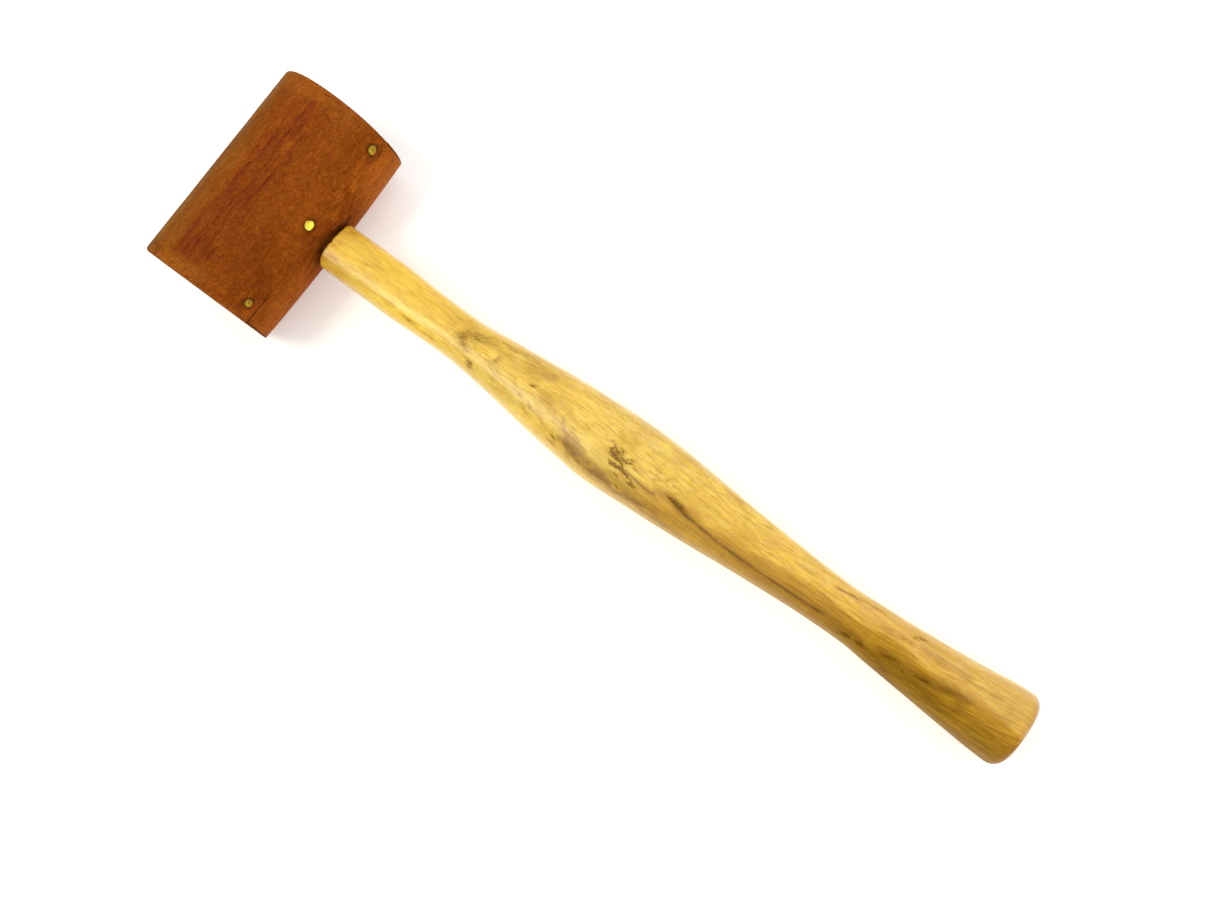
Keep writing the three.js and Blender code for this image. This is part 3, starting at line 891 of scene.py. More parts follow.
# Scale along X, Y and Z, octaves, gain, seed of: broad, drift, fibre, mottle, wisp
WOOD_NOISES = [
    ((0.030, 0.12, 0.12), 3, 0.5, 131), ((0.045, 0.17, 0.17), 3, 0.5, 132),
    ((0.06, 0.85, 0.85), 4, 0.6, 133), ((0.25, 0.55, 0.55), 4, 0.6, 134),
    ((0.10, 0.9, 0.9), 3, 0.6, 135),
]
GROUND_X = [26, 40, 60, 80, 95, 130, 150, 170, 200, 225, 250, 290, 309]
GROUND = [
    (228, 180, 62), (240, 197, 70), (242, 200, 70), (238, 196, 78), (237, 196, 86),
    (240, 199, 92), (236, 196, 92), (232, 194, 98), (240, 199, 100), (240, 196, 98),
    (228, 182, 90), (234, 189, 98), (234, 191, 104),
]
HEART_X = [150, 200, 230, 255, 275, 300]
HEART = [
    (204, 156, 48), (196, 145, 34), (193, 142, 32), (180, 134, 30), (190, 144, 34), (192, 145, 38),
]
# Run of the fibres: X, place round the section
FIBRE_PATH = np.array([
    (20, 0), (110, 0), (150, -0.10), (165, -0.17), (178, -0.24), (192, -0.33), (208, -0.37),
    (243, -0.37), (262, -0.27), (278, -0.17), (294, -0.04), (309.3, 0.10),
])
RING_PITCH = 1.55
TAN = (176, 130, 56)
SIDE_LINE = [
    (164, -0.27), (171, -0.29), (176, -0.36), (182, -0.43), (189, -0.51), (198, -0.58),
    (205, -0.59), (216, -0.58), (228, -0.59), (240, -0.58), (252, -0.52),
]
# Marks in the order they are laid on. X in mm; side is the place seen from above, -1 to 1 (+Y).
# line: points (X, side), width, amount, colour, crispness, fade at the ends, jitter, gaps
# arch: X, side, bend towards +Y, bend towards -Y, width, amount, colour, lowest side,
#       highest side, crispness, open pores
# patch: X, side, half length, half width, lean, amount, colour, open pores, raggedness
MARKS = [
    # growth rings run out at the shoulder, and a few rubbed dashes on the neck
    *(("line", [(24, -0.46 - 0.13 * k), (31, -0.42 - 0.13 * k), (38, -0.31 - 0.13 * k),
                (48 + 2 * k, -0.2 - 0.13 * k)], 0.5, 0.34, (186, 130, 34), 0.15, 2.5, 0.8)
      for k in range(4)),
    ("patch", 54, -0.62, 4.5, 1, 0, 0.4, (196, 134, 58), 0.6),
    ("patch", 64, -0.72, 4.5, 1, -0.05, 0.38, (190, 134, 56), 0.7),
    ("patch", 72, -0.8, 5, 0.9, 0, 0.34, (188, 134, 52), 0.7),
    ("patch", 40, 0.1, 5, 0.8, 0.15, 0.25, (206, 156, 50), 0.6),
    ("line", [(84, 0.1), (92, 0.4), (100, 0.6), (112, 0.74), (128, 0.84)],
     0.5, 0.55, (166, 122, 40), 0.35, 5, 0.8),
    ("line", [(92, 0.3), (102, 0.48), (114, 0.6), (130, 0.7)],
     0.7, 0.35, (190, 146, 56), 0.1, 5, 0.9),
    # the arch where the neck opens into the swell
    ("arch", 80, 0.03, 95, 60, 3.6, 0.5, (194, 154, 54), -0.72, 0.8),
    ("arch", 80.4, 0.03, 95, 60, 0.8, 0.62, (142, 102, 22), -0.4, 0.86, 0.25, 0.3),
    *(("arch", 82.2 + 1.9 * k, 0.03 + 0.02 * k, 88, 56, 0.45, 0.46 - 0.045 * k,
       (152, 110, 24), -0.5 + 0.04 * k, 0.46, 0.08, 0.3) for k in range(6)),
    ("arch", 83.5, 0, 100, 52, 1.8, 0.3, (176, 140, 66), -0.5, 0.5, 0, 0.8),
    ("arch", 88, 0.1, 90, 60, 1.2, 0.22, (184, 150, 84), -0.35, 0.55, 0, 0.4),
    ("patch", 82.4, 0.02, 2.4, 1.8, 0.1, 0.4, (138, 98, 20), 0.9),
    ("patch", 84.5, 0.02, 5, 4.6, 0.1, 0.16, (188, 146, 58), 0.45),
    ("patch", 86, 0.28, 7.5, 2.8, 0.45, 0.24, (190, 148, 60), 0.55),
    ("patch", 89.5, -0.66, 2.4, 1.6, -0.2, 0.62, (150, 112, 56), 0.75),
    ("line", [(86, 0.42), (95, 0.62), (106, 0.76), (124, 0.88)], 1.2, 0.45, (180, 142, 76), 0.15),
    # the next arch, faint
    ("arch", 98.5, -0.05, 110, 90, 2.2, 0.52, (196, 158, 76), -0.75, 0.85, 0, 0.15),
    ("arch", 106, -0.02, 95, 95, 1.6, 0.46, (198, 160, 74), -0.6, 0.8),
    # marks along the rise of the swell
    ("patch", 121, -0.06, 17, 7.5, -0.1, 0.36, (208, 160, 50), 0, 0.6),
    ("patch", 191, 0.26, 26, 6.5, -0.08, 0.32, (214, 166, 54), 0, 0.7),
    ("patch", 112.6, 0.03, 2.2, 0.7, 0.35, 0.45, (140, 100, 36), 1),
    ("patch", 118, -0.06, 4.6, 2.8, -0.2, 0.36, (186, 142, 58), 0.3),
    ("patch", 110.3, -0.43, 1.2, 0.8, 0, 0.5, (176, 130, 88), 0.5),
    ("patch", 115, -0.48, 2, 0.9, -0.5, 0.55, (172, 126, 84), 0.6),
    ("patch", 108.5, -0.72, 3, 1.2, 0, 0.35, (190, 150, 80), 0.3),
    ("patch", 104, -0.6, 8, 1.6, 0.1, 0.2, (196, 156, 74), 0.2),
    # bruise running into the dark ring on the -Y side
    ("line", [(126.5, -0.18), (129, -0.36), (131.5, -0.55), (135, -0.66)],
     1.1, 0.62, (166, 118, 78), 0.45, 1),
    ("patch", 133.5, -0.47, 5.2, 2.4, -0.35, 0.48, (198, 152, 112), 0.5),
    ("patch", 138, -0.55, 4, 1.6, -0.3, 0.4, (176, 130, 84), 0.4),
    ("line", [(126, -0.66), (133, -0.7), (142, -0.76), (152, -0.82), (166, -0.9), (184, -0.95)],
     3, 0.74, (158, 114, 38), 0, 4),
    ("line", [(128, -0.64), (136, -0.7), (146, -0.75), (158, -0.82), (170, -0.89)],
     1.5, 0.66, (134, 94, 28), 0.22, 6),
    ("line", [(133, -0.62), (144, -0.68), (156, -0.76), (170, -0.83)],
     0.8, 0.4, (160, 116, 52), 0, 2),
    ("line", [(129, -0.62), (142, -0.67), (156, -0.73), (174, -0.82)],
     2.3, 0.55, (142, 98, 26), 0.12, 6, 1, 0.5),
    ("patch", 127.3, -0.71, 2, 0.8, -0.2, 0.62, (140, 100, 36), 0.9),
    ("patch", 127.5, -0.84, 3.2, 0.8, -0.1, 0.55, (150, 112, 60), 0.8),
    # dark cluster of pores on the crown and its tail
    ("patch", 147.2, -0.06, 3.4, 2.2, -0.9, 0.46, (150, 102, 20), 1.15, 1),
    ("patch", 150.4, -0.23, 6, 4.4, -0.45, 0.34, (180, 132, 30), 1.1, 1.25),
    ("patch", 152.8, -0.35, 4.4, 1.9, -0.35, 0.34, (150, 104, 24), 1.2, 0.8),
    ("patch", 150, -0.24, 8.5, 4.4, -0.2, 0.24, TAN, 0.35, 0.6),
    ("line", [(153, -0.33), (158, -0.39), (163, -0.42), (168, -0.43)],
     0.6, 0.55, (112, 76, 24), 0.75, 1.5, 0.5),
    # swirl on the crown
    ("arch", 163.5, 0.2, -60, -85, 1, 0.3, TAN, -0.3, 0.55),
    ("arch", 169.5, 0.22, -70, -95, 0.9, 0.32, TAN, -0.32, 0.5, 0.1),
    ("arch", 176.5, 0.22, -80, -110, 1, 0.24, TAN, -0.3, 0.45),
    ("arch", 186, 0.2, -90, -130, 1.3, 0.16, TAN, -0.2, 0.45),
    ("patch", 160, 0.46, 6, 1, 0.15, 0.3, (196, 150, 72), 0.4),
    # long dark line down the -Y side
    ("line", SIDE_LINE, 2, 0.35, (168, 120, 40), 0, 3),
    ("line", SIDE_LINE[:6], 0.55, 0.78, (108, 68, 6), 0.8, 9, 0.9, 0.5),
    ("line", SIDE_LINE[4:10], 0.45, 0.8, (112, 72, 8), 0.78, 8, 1.1, 0.6),
    ("line", SIDE_LINE[7:], 0.75, 0.45, (128, 86, 12), 0.45, 6, 0.8),
    ("line", [(168, -0.21), (174, -0.27), (180, -0.36), (186, -0.44)],
     1.2, 0.45, (150, 106, 40), 0.35, 2),
    ("patch", 176, -0.32, 7.5, 1.5, -0.18, 0.5, (134, 90, 14), 1.1),
    ("line", [(196, -0.66), (210, -0.7), (228, -0.72), (246, -0.73)],
     1.4, 0.42, (150, 106, 36), 0.15, 5),
    ("line", [(170, -0.6), (182, -0.68), (200, -0.76), (224, -0.8)],
     1.2, 0.32, (164, 122, 58), 0, 5),
    ("line", [(186, -0.36), (200, -0.44), (216, -0.47), (236, -0.45)],
     1.2, 0.28, (176, 128, 48), 0, 5),
    ("line", [(204, -0.2), (216, -0.26), (232, -0.28), (250, -0.24)],
     1.1, 0.22, (182, 136, 56), 0, 5),
    ("patch", 174, -0.72, 6, 2.4, -0.1, 0.25, (176, 138, 74), 0.35),
    # short crisp line on the +Y side and its neighbours
    ("line", [(229.5, 0.45), (234, 0.53), (239, 0.63), (245, 0.7), (252, 0.76)],
     0.44, 0.8, (148, 90, 14), 0.55, 5, 0.8, 0.4),
    ("line", [(240, 0.5), (244, 0.54), (248, 0.6)], 0.6, 0.5, (196, 142, 82), 0.25, 1.5),
    ("patch", 204.5, 0.76, 3, 0.6, 0.15, 0.45, (204, 158, 72), 0.3),
    ("patch", 207, 0.3, 3, 0.9, 0.2, 0.3, (214, 160, 108), 0.3),
    ("patch", 264.5, 0.64, 3.6, 1.3, 0.3, 0.5, (170, 124, 60), 0.8),
    ("line", [(244, 0.38), (252, 0.34), (262, 0.36), (274, 0.42), (288, 0.52)],
     0.9, 0.58, (168, 116, 32), 0.35, 4),
    ("line", [(250, 0.26), (266, 0.26), (282, 0.34), (298, 0.46)],
     0.7, 0.5, (170, 118, 34), 0.3, 4),
    # fine lines fanning towards the butt
    *(("line", [(262 + 2.2 * k, -0.32 + 0.085 * k), (276 + 1.6 * k, -0.25 + 0.085 * k),
                (290, -0.15 + 0.085 * k), (307, -0.02 + 0.085 * k)],
       0.42, 0.4 - 0.015 * k, (166, 118, 40), 0.22, 5, 0.9) for k in range(9)),
    # brown arch at the foot of the waist, and the dark streaks under the flare
    ("arch", 231, 0, 160, 40, 1.6, 0.34, (190, 142, 62), -0.5, 0.45),
    ("line", [(254, -0.56), (266, -0.5), (278, -0.44), (292, -0.38)],
     2.8, 0.45, (118, 80, 10), 0.1, 6, 1, 0.5),
    ("line", [(252, -0.5), (259, -0.43), (267, -0.37), (275, -0.27), (284, -0.15), (292, -0.06)],
     1.8, 0.55, (118, 80, 18), 0.35, 3),
    ("patch", 260, -0.43, 5.2, 2, 0.2, 0.35, (128, 92, 10), 0.5),
    ("patch", 260, -0.43, 4.4, 0.9, 0.2, 0.42, (96, 62, 3), 1.2, 0.8),
    ("patch", 273, -0.33, 8, 2.8, 0.25, 0.22, (132, 94, 10), 0.5),
    ("patch", 273, -0.33, 6, 1.3, 0.25, 0.42, (100, 66, 4), 1.25, 0.9),
    ("patch", 281, -0.19, 6, 1.5, 0.3, 0.5, (120, 84, 22), 0.8),
    ("patch", 244.5, -0.73, 4.2, 1.8, 0.1, 0.35, (130, 94, 10), 0.4),
    ("patch", 244.5, -0.73, 2.8, 0.7, 0.1, 0.5, (88, 60, 4), 1.1, 0.8),
    ("patch", 250, -0.66, 4, 1.9, 0.2, 0.35, (126, 90, 10), 0.4),
    ("patch", 250, -0.66, 2.8, 0.8, 0.2, 0.55, (80, 52, 2), 1.1, 0.8),
    ("line", [(246, -0.7), (258, -0.7), (270, -0.7), (284, -0.66)],
     1.5, 0.5, (122, 84, 18), 0.25, 4),
    ("line", [(256, -0.8), (270, -0.82), (286, -0.8), (302, -0.74)],
     1.1, 0.42, (134, 98, 36), 0.2, 4),
    ("line", [(262, -0.62), (276, -0.58), (290, -0.5), (304, -0.4)],
     1, 0.38, (140, 98, 28), 0.2, 4),
    ("line", [(266, -0.52), (280, -0.44), (294, -0.34), (307, -0.24)],
     0.8, 0.34, (146, 104, 34), 0.2, 4),
]


def around_from_side(x, side):
    """Turns a sideways place seen from above into a place round the section."""
    power = curve(SQUARENESS, 1, x)
    side = np.asarray(side, float)
    return 2 / math.pi * np.arctan2(side, (1 - np.abs(side) ** power) ** (1 / power))


class Wood(Paint):
    """The handle's paint, with its dark grain lines and patches of open pores.

    around is the place round the section: 0 on top, +-1 at the sides, +-2 underneath.
    """

    def __init__(self, points):
        self.points = points
        x, y, z = points.T
        station = np.clip(x, SHOULDER_X, BUTT_X)
        width, height = half_width(station, y), curve(THICKNESS, 1, station)
        self.around = 2 / math.pi * np.arctan2(y / width, z / height)
        self.mm_around = math.pi / 2 * np.sqrt((width**2 + height**2) / 2) * 1.05
        self.x = np.interp(x, FIGURE_TO, FIGURE_FROM)
        self.noises = [stretched(points, *row) for row in WOOD_NOISES]
        self.lines = np.zeros(len(points))
        self.pores = np.zeros(len(points))

    def ground(self):
        x, around = self.points[:, 0], self.around
        broad, drift, fibre, mottle, wisp = self.noises
        shade = 0.055 * broad + 0.050 * fibre + 0.035 * mottle
        self.rgb = tints_along(x, GROUND_X, GROUND) * (1 + shade)[:, None]
        # greyer and yellower drifting patches
        self.over(ease(0.05, 0.55, drift + 0.35 * fibre) * 0.22, (216, 178, 84))
        yellow = ease(0.05, 0.60, -drift + 0.30 * wisp) * 0.30 * ease(110, 60, x)
        self.over(yellow, (250, 204, 58))
        self.over(ease(0.10, 0.60, broad + 0.5 * mottle) * 0.22, (246, 196, 74))
        self.over(ease(0.0, 0.6, -broad + 0.4 * mottle) * 0.16, (226, 182, 104))
        by_head = (1 - ease(27, 38, x)) * ease(-0.1, 0.5, mottle + broad) * 0.5
        self.over(by_head, (214, 154, 36))
        # painted highlight: a pale yellow band along the -Y side of the neck, under the key light's
        # reflection in the varnish
        neck = bell(around + 0.37 - 0.08 * ease(120, 150, x), 0.20) * band(x, 32, 44, 150, 172)
        self.over(neck * np.clip(0.75 + 0.5 * mottle, 0, 1) * 0.50, (252, 220, 92))
        x = self.x
        sides = (1 - ease(27, 42, x)) * ease(0.25, 0.75, np.abs(around) * 1.6)
        self.over(sides * np.clip(0.6 + 0.7 * mottle, 0, 1) * 0.7, (196, 138, 28))

    def growth_rings(self):
        """Rings cut by the curve of the surface."""
        _, y, z = self.points.T
        broad, drift, _, mottle, _ = self.noises
        depth = z * 0.92 + y * 0.30 + self.x * 0.010
        depth = depth + 0.9 * broad + 0.35 * drift + 0.06 * mottle
        early = band(depth / RING_PITCH % 1.0, 0.58, 0.92, 0.96, 1.0)
        self.over(early * np.clip(0.30 + 0.35 * drift + 0.25 * mottle, 0, 1) * 0.45, (206, 156, 66))
        self.pores = early * 0.18 * np.clip(0.5 + drift, 0, 1)

    def strands(self, coord, mask, seed, dark, pale):
        _, drift, _, mottle, _ = self.noises
        where = coord * 0.40 + 1.7 * drift + 0.35 * mottle
        noise = fbm(where, self.around * 1.9, 5.0, 4, 0.68, seed=seed)
        place = np.column_stack([self.x, self.points[:, 1:]])
        part = 0.45 + 1.5 * stretched(place, (0.055, 0.16, 0.16), 2, 0.5, seed + 1)
        part = np.clip(part, 0, 1) * mask
        self.over(np.clip(noise - 0.04, 0, 1) * part * 0.90, dark)
        self.over(np.clip(-noise - 0.04, 0, 1) * part * 0.65, pale)

    def swell(self):
        """Nested arches where the neck opens and on the crown; gives how calm the rest is."""
        x, around = self.x, self.around
        aside = around - 0.02
        arcs = x - np.where(aside > 0, 95, 60) * aside**2
        mask = ease(78, 86, arcs) * (1 - ease(138, 156, x)) * (1 - ease(0.60, 0.85, np.abs(around)))
        self.strands(arcs, mask, 151, (190, 146, 44), (250, 214, 118))
        aside = around - 0.16
        arcs = x + np.where(aside > 0, 70, 95) * aside**2
        mask = band(x, 146, 158, 192, 212) * band(around, -0.34, -0.14, 0.60, 0.80)
        self.strands(arcs * 1.2, mask, 161, (196, 150, 48), (250, 212, 124))
        cloud = fbm(x * 0.085 + around * 1.6, x * 0.05 - around * 2.6, 3.0, 4, 0.62, seed=171)
        swell = band(x, 88, 104, 196, 220) * (np.abs(around) < 1.2)
        self.over(ease(0.02, 0.50, cloud) * swell * 0.42, (214, 168, 58))
        self.over(ease(0.05, 0.50, -cloud) * swell * 0.34, (250, 214, 110))
        return 1 - 0.70 * np.clip(mask + band(x, 80, 90, 138, 156), 0, 1)

    def heart(self):
        """Browner wood down the -Y side, more of it towards the butt; gives its two masks."""
        x, around = self.x, self.around
        broad, drift, fibre, mottle, wisp = self.noises
        reach = np.interp(
            x, [20, 120, 148, 165, 190, 215, 245, 262, 285, 309],
            [0, 0, 0.22, 0.72, 0.85, 0.88, 0.95, 1.0, 1.0, 0.92])
        border = np.interp(
            x, [20, 148, 165, 185, 200, 225, 240, 255, 275, 295, 309],
            [-0.6, -0.45, -0.12, -0.08, -0.04, 0.10, 0.22, 0.26, 0.14, 0.04, -0.02])
        border = around_from_side(np.clip(x, 26, 309), border)
        ragged = around + 0.05 * fibre + 0.10 * broad + 0.03 * wisp
        brown = (1 - ease(-0.14, 0.05, ragged - border)) * ease(-2.1, -1.7, around) * reach
        shade = 0.10 * fibre + 0.08 * mottle + 0.05 * wisp
        self.over(brown, tints_along(x, HEART_X, HEART) * (1 + shade)[:, None])
        low = np.interp(
            x, [20, 165, 215, 248, 262, 280, 296, 309],
            [0, 0.0, 0.28, 0.62, 0.86, 0.78, 0.76, 0.74])
        low = low * (1 - ease(-0.36, -0.10, ragged)) * ease(-1.7, -1.25, around)
        low = low * np.clip(0.78 + 0.45 * fibre + 0.2 * mottle, 0, 1)
        self.over(low, (126, 88, 8))
        veil = ease(238, 272, x) * (1 - ease(0.0, 0.55, fibre + 0.5 * drift)) * 0.30
        self.over(veil * (around > -0.3) * (np.abs(around) < 1.4), (196, 146, 60))
        return brown, low

    def line(self, points, width, amount, colour, crisp=0.0, fade=None, jitter=1.0, gap=0.6):
        _, drift, _, mottle, wisp = self.noises
        rows = np.array(points, float)
        rows[:, 1] = around_from_side(rows[:, 0], rows[:, 1])
        away = (self.around - curve(rows, 1, self.x)) * self.mm_around
        away = away + jitter * (0.35 * drift + 0.16 * mottle + 0.10 * wisp)
        first, last = rows[0, 0], rows[-1, 0]
        fade = fade or max(2.5, 0.18 * (last - first))
        shown = band(self.x, first, first + fade, last - fade, last)
        broken = np.clip(1 - gap * 0.6 + gap * (mottle + 0.6 * wisp), 0, 1)
        self.over(bell(away, width) * shown * amount * broken, colour)
        if crisp:
            thin = bell(away, max(0.5, width * 0.6)) * shown * crisp
            self.lines = np.maximum(self.lines, thin * np.clip(0.55 + broken * 0.5, 0, 1))

    def arch(self, x, side, plus, minus, width, amount, colour, low=-0.8, high=0.8, crisp=0.0,
             pores=0.0):
        _, drift, _, mottle, _ = self.noises
        aside = self.around - around_from_side(x, side)
        bend = np.where(aside > 0, plus, minus)
        slope = np.abs(2 * bend * aside) / self.mm_around
        away = self.x - (x + bend * aside**2) + 1.6 * drift + 0.9 * mottle
        away = away / np.sqrt(1 + slope**2)
        low, high = around_from_side(x, low), around_from_side(x, high)
        shown = band(self.around, low, low + 0.14, high - 0.14, high)
        mask = bell(away, width) * shown
        self.over(mask * amount * np.clip(0.6 + 0.7 * mottle, 0, 1), colour)
        if crisp:
            self.lines = np.maximum(self.lines, bell(away, 0.6) * shown * crisp)
        if pores:
            self.pores = np.maximum(self.pores, mask * pores)

    def patch(self, x, side, length, width, lean, amount, colour, pores=0.0, ragged=0.35):
        _, _, _, mottle, wisp = self.noises
        along = self.x - x
        aside = (self.around - around_from_side(x, side)) * self.mm_around - along * lean
        away = np.hypot(along / length, aside / width) + ragged * (0.7 * mottle + 0.4 * wisp)
        mask = (1 - ease(0.35, 1.1, away)) * (np.abs(self.around) < 1.25)
        self.over(mask * amount, colour)
        if pores:
            self.pores = np.maximum(self.pores, mask * pores)

    def ends(self):
        """Reddish arris at the butt, end grain at both ends, and the shoulder's cone painted dark,
        partly as dirt and glue and partly as painted shadow in the gap by the head; gives the ends.
        """
        x, y, z = self.points.T
        mottle = self.noises[3]
        self.over(ease(BUTT_X - 3.2, BUTT_X - 0.9, x + 0.5 * mottle) * 0.55, (184, 112, 24))
        cloud = fbm(y * 0.22, z * 0.22, 2.0, 3, seed=141)
        ring = (z * 0.92 + y * 0.30 + 0.5 * cloud) / RING_PITCH % 1.0
        shade = 0.10 * cloud + 0.06 * fbm(y * 1.1, z * 1.1, 5.0, 3, seed=142)
        grain = Paint((196, 146, 74), shade)
        grain.over(ease(0.50, 0.95, ring) * 0.55, (148, 98, 42))
        grain.over((x < 0) * 0.55, (138, 88, 40))
        ends = ease(BUTT_X - 0.75, BUTT_X - 0.30, x) + (1 - ease(3.0 - HEAD_R, 4.0 - HEAD_R, x))
        ends = np.clip(ends, 0, 1)
        self.over(ends, grain.rgb)
        # the cone under the shoulder: dark brown, partly dirt and glue, partly painted shadow in the
        # gap between the wood and the hide
        self.over((1 - ease(27.2, 28.3, x + 0.3 * mottle)) * ease(20, 25, x), (78, 36, 9))
        self.gain(band(np.abs(self.around), 0.62, 0.95, 1.2, 1.5), (-0.02, 0.05, -0.25))
        return ends


def paint_handle(mesh):
    """Tint, varnish, run of the fibres and figure of the wood, as attributes."""
    wood = Wood(mesh_points(mesh))
    wood.ground()
    wood.growth_rings()
    calm = wood.swell()
    brown, low = wood.heart()
    for kind, *values in MARKS:
        getattr(wood, kind)(*values)
    ends = wood.ends()
    wood.store(mesh, (1.0, 0.98, 0.66))

    x, around = wood.points[:, 0], wood.around
    bend = curve(FIBRE_PATH, 1, x) * (1 - ease(0.2, 1.2, np.abs(around + 0.3)))
    flow = (around - bend) * wood.mm_around
    keep = (1 - ease(1.35, 1.75, np.abs(around))) * (x > 26) * (1 - ends)
    lively = np.clip(0.30 + 0.35 * ease(140, 185, x) + 0.45 * brown + 0.3 * low, 0, 1.2) * calm
    # the varnish is thinner on the brown side towards the butt, and over the open pores
    gloss = (1 - 0.75 * brown * ease(215, 262, x)) * (1 - 0.6 * np.clip(wood.pores, 0, 1))
    gloss = gloss * (x > 27.6) * (1 + 0.75 * (1 - ease(148, 182, x)))
    store(mesh, "gloss", gloss * (1 - 0.55 * ease(0.70, 0.95, np.abs(around))))
    store(mesh, "flow", np.stack([flow, keep, lively], -1))
    shown = (1 - ends) * (x > 24)
    pores, lines = np.clip(wood.pores, 0, 1.3), np.clip(wood.lines, 0, 1)
    store(mesh, "figure", np.stack([pores * shown, lines * shown, ends], -1))


# ------------------------------------------------------------------ wedge
def build_wedge():
    """A tapered plate trimmed to the tenon's round, its end dressed to the head's surface."""
    radius, end_r = TENON_R - 0.02, HEAD_R + 0.03
    angle = np.linspace(0, TAU, 112, endpoint=False)
    s = np.sin(angle)
    rows = []
    for part in np.linspace(0, 1, 31):
        half = (WEDGE_THICK * (1 - part) + WEDGE_TIP * part) / 2
        half = half * (1 - 0.25 * ease(0.94, 1.0, part))
        z = half * np.sign(s) * np.minimum(1, np.abs(s) * 6.0)
        y = np.cos(angle) * np.sqrt(np.maximum(radius**2 - z**2, 0))
        rough = 0.05 * fbm(y * 0.7, z * 1.4, 1.0, 3, seed=61) * (1 - ease(0, 0.08, part))
        x = -np.sqrt(end_r**2 - z**2) + rough + part * WEDGE_L
        x = x + 0.04 * vnoise(y * 0.6, z, part * 9, seed=62)
        rows.append(np.stack([x, y, z], -1))
    # shrunken rings close both ends
    start, end = [], []
    for part in (0.05, 0.3, 0.6, 0.85, 0.96):
        cap = rows[0] * (1, part, part)
        cap[:, 0] = -np.sqrt(end_r**2 - cap[:, 2] ** 2) + 0.02 * (1 - part)
        start.append(cap)
    for part in (0.9, 0.5, 0.1):
        end.append(rows[-1] * (1, part, part) + (0.15 * (1 - part), 0, 0))
    tip = [rows[-1][:, 0].mean() + 0.15, 0, 0]
    return closed_tube("tenon_wedge_wood", start + rows + end, [-end_r + 0.02, 0, 0], tip, 40)


# ------------------------------------------------------------------ materials
def rawhide_material():
    net = Net("rawhide")
    x, y, z = net.head_mm()
    place = net.vec(x, y, z)
    tint = net.attribute("tint", COLOUR)
    ends, through, seam = net.attribute("lam", VECTOR).split()
    side = 1.0 - ends
    mottle = net.noise(place, detail=5, rough=0.62, warp=0.25, scale=0.55)
    along = net.noise(net.vec(x * 1.6, y * 0.45, z * 1.6), detail=4, rough=0.65)
    slant = net.vec((x + z) * 1.1 - y * 0.8, (x + z) * 0.35 + y * 0.35, z * 0.8)
    brush = net.noise(slant, detail=4, rough=0.62, warp=0.2)
    grit = net.noise(place, detail=4, rough=0.62, scale=1.7)
    pores = net.voronoi(net.vec(x, y * 0.7, z), scale=1.15)
    pits = pores.ease(0.26, 0.06) * mottle.ease(0.40, 0.62) * side

    # broad marks come from the painted tint, fine ones from here
    fine = along * 0.25 + brush * 0.24 + mottle * 0.13 + grit * 0.38
    red, green = fine.span(0.38, 0.62, 0.62, 1.38), fine.span(0.38, 0.62, 0.54, 1.48)
    colour = tint.times(net.vec(red, green, grit.span(0.36, 0.64, 0.35, 1.8)))
    colour = colour.mix(fine.ease(0.50, 0.36) * 0.30, (104, 44, 14))
    colour = colour.mix(fine.ease(0.53, 0.66) * 0.22, (178, 98, 40))
    colour = colour.mix(pits * 0.42, (84, 38, 12))
    streaks = net.attribute("streaks")
    thin = net.vec(x * 2.0 + y * 0.06, y * 0.15, z * 2.0)
    thin = net.noise(thin, detail=4, rough=0.62, warp=0.15)
    colour = colour.mix(thin.ease(0.51, 0.64) * streaks * 0.60, (94, 30, 14))
    colour = colour.mix(thin.ease(0.48, 0.36) * streaks * 0.28, (176, 88, 44))

    # cut faces: fibres run round with the turns
    fibres = net.vec(x * 0.34, z * 0.34, through * 7.0)
    fibres = net.noise(fibres, detail=4, rough=0.62, warp=0.35)
    flecks = net.noise(place, detail=4, rough=0.6, scale=1.9)
    level = (fibres * 0.6 + flecks * 0.4).span(0.32, 0.68, 0.60, 1.40)
    face = tint.times(net.vec(level, level, level))
    face = face.mix(flecks.ease(0.60, 0.72) * 0.35, (196, 148, 92))
    joint = through.ease(0.045, 0.0) + through.ease(0.955, 1.0)
    colour = colour.mix(ends, face.mix(joint * 0.75, (52, 26, 12)))

    # the seam and the nick, as thin broken lines; along the seam they are partly painted shadow in the
    # gap under the strip's free edge
    broken = seam + (along - 0.5) * 0.5 + (grit - 0.5) * 0.3
    line = broken.ease(0.42, 0.78)
    colour = colour.mix(line * 0.88, (46, 22, 8))
    colour = colour.mix(seam.ease(0.05, 0.7) * 0.40, (88, 38, 12))

    height = along * 0.34 + brush * 0.30 + mottle * 0.25 + grit * 0.12 - pits * 0.30 - line * 0.55
    face_height = fibres * 0.9 + flecks * 0.5 - joint * 0.9
    height = height * side + face_height * ends
    return net.principled(
        Base_Color=colour,
        Roughness=fine.span(0.34, 0.66, 0.62, 0.46) + ends * 0.14,
        Normal=height.bump(strength=0.55, distance=0.00030),
        Specular_IOR_Level=0.01,
        Specular_Tint=(1.0, 0.62, 0.22, 1.0),
    )


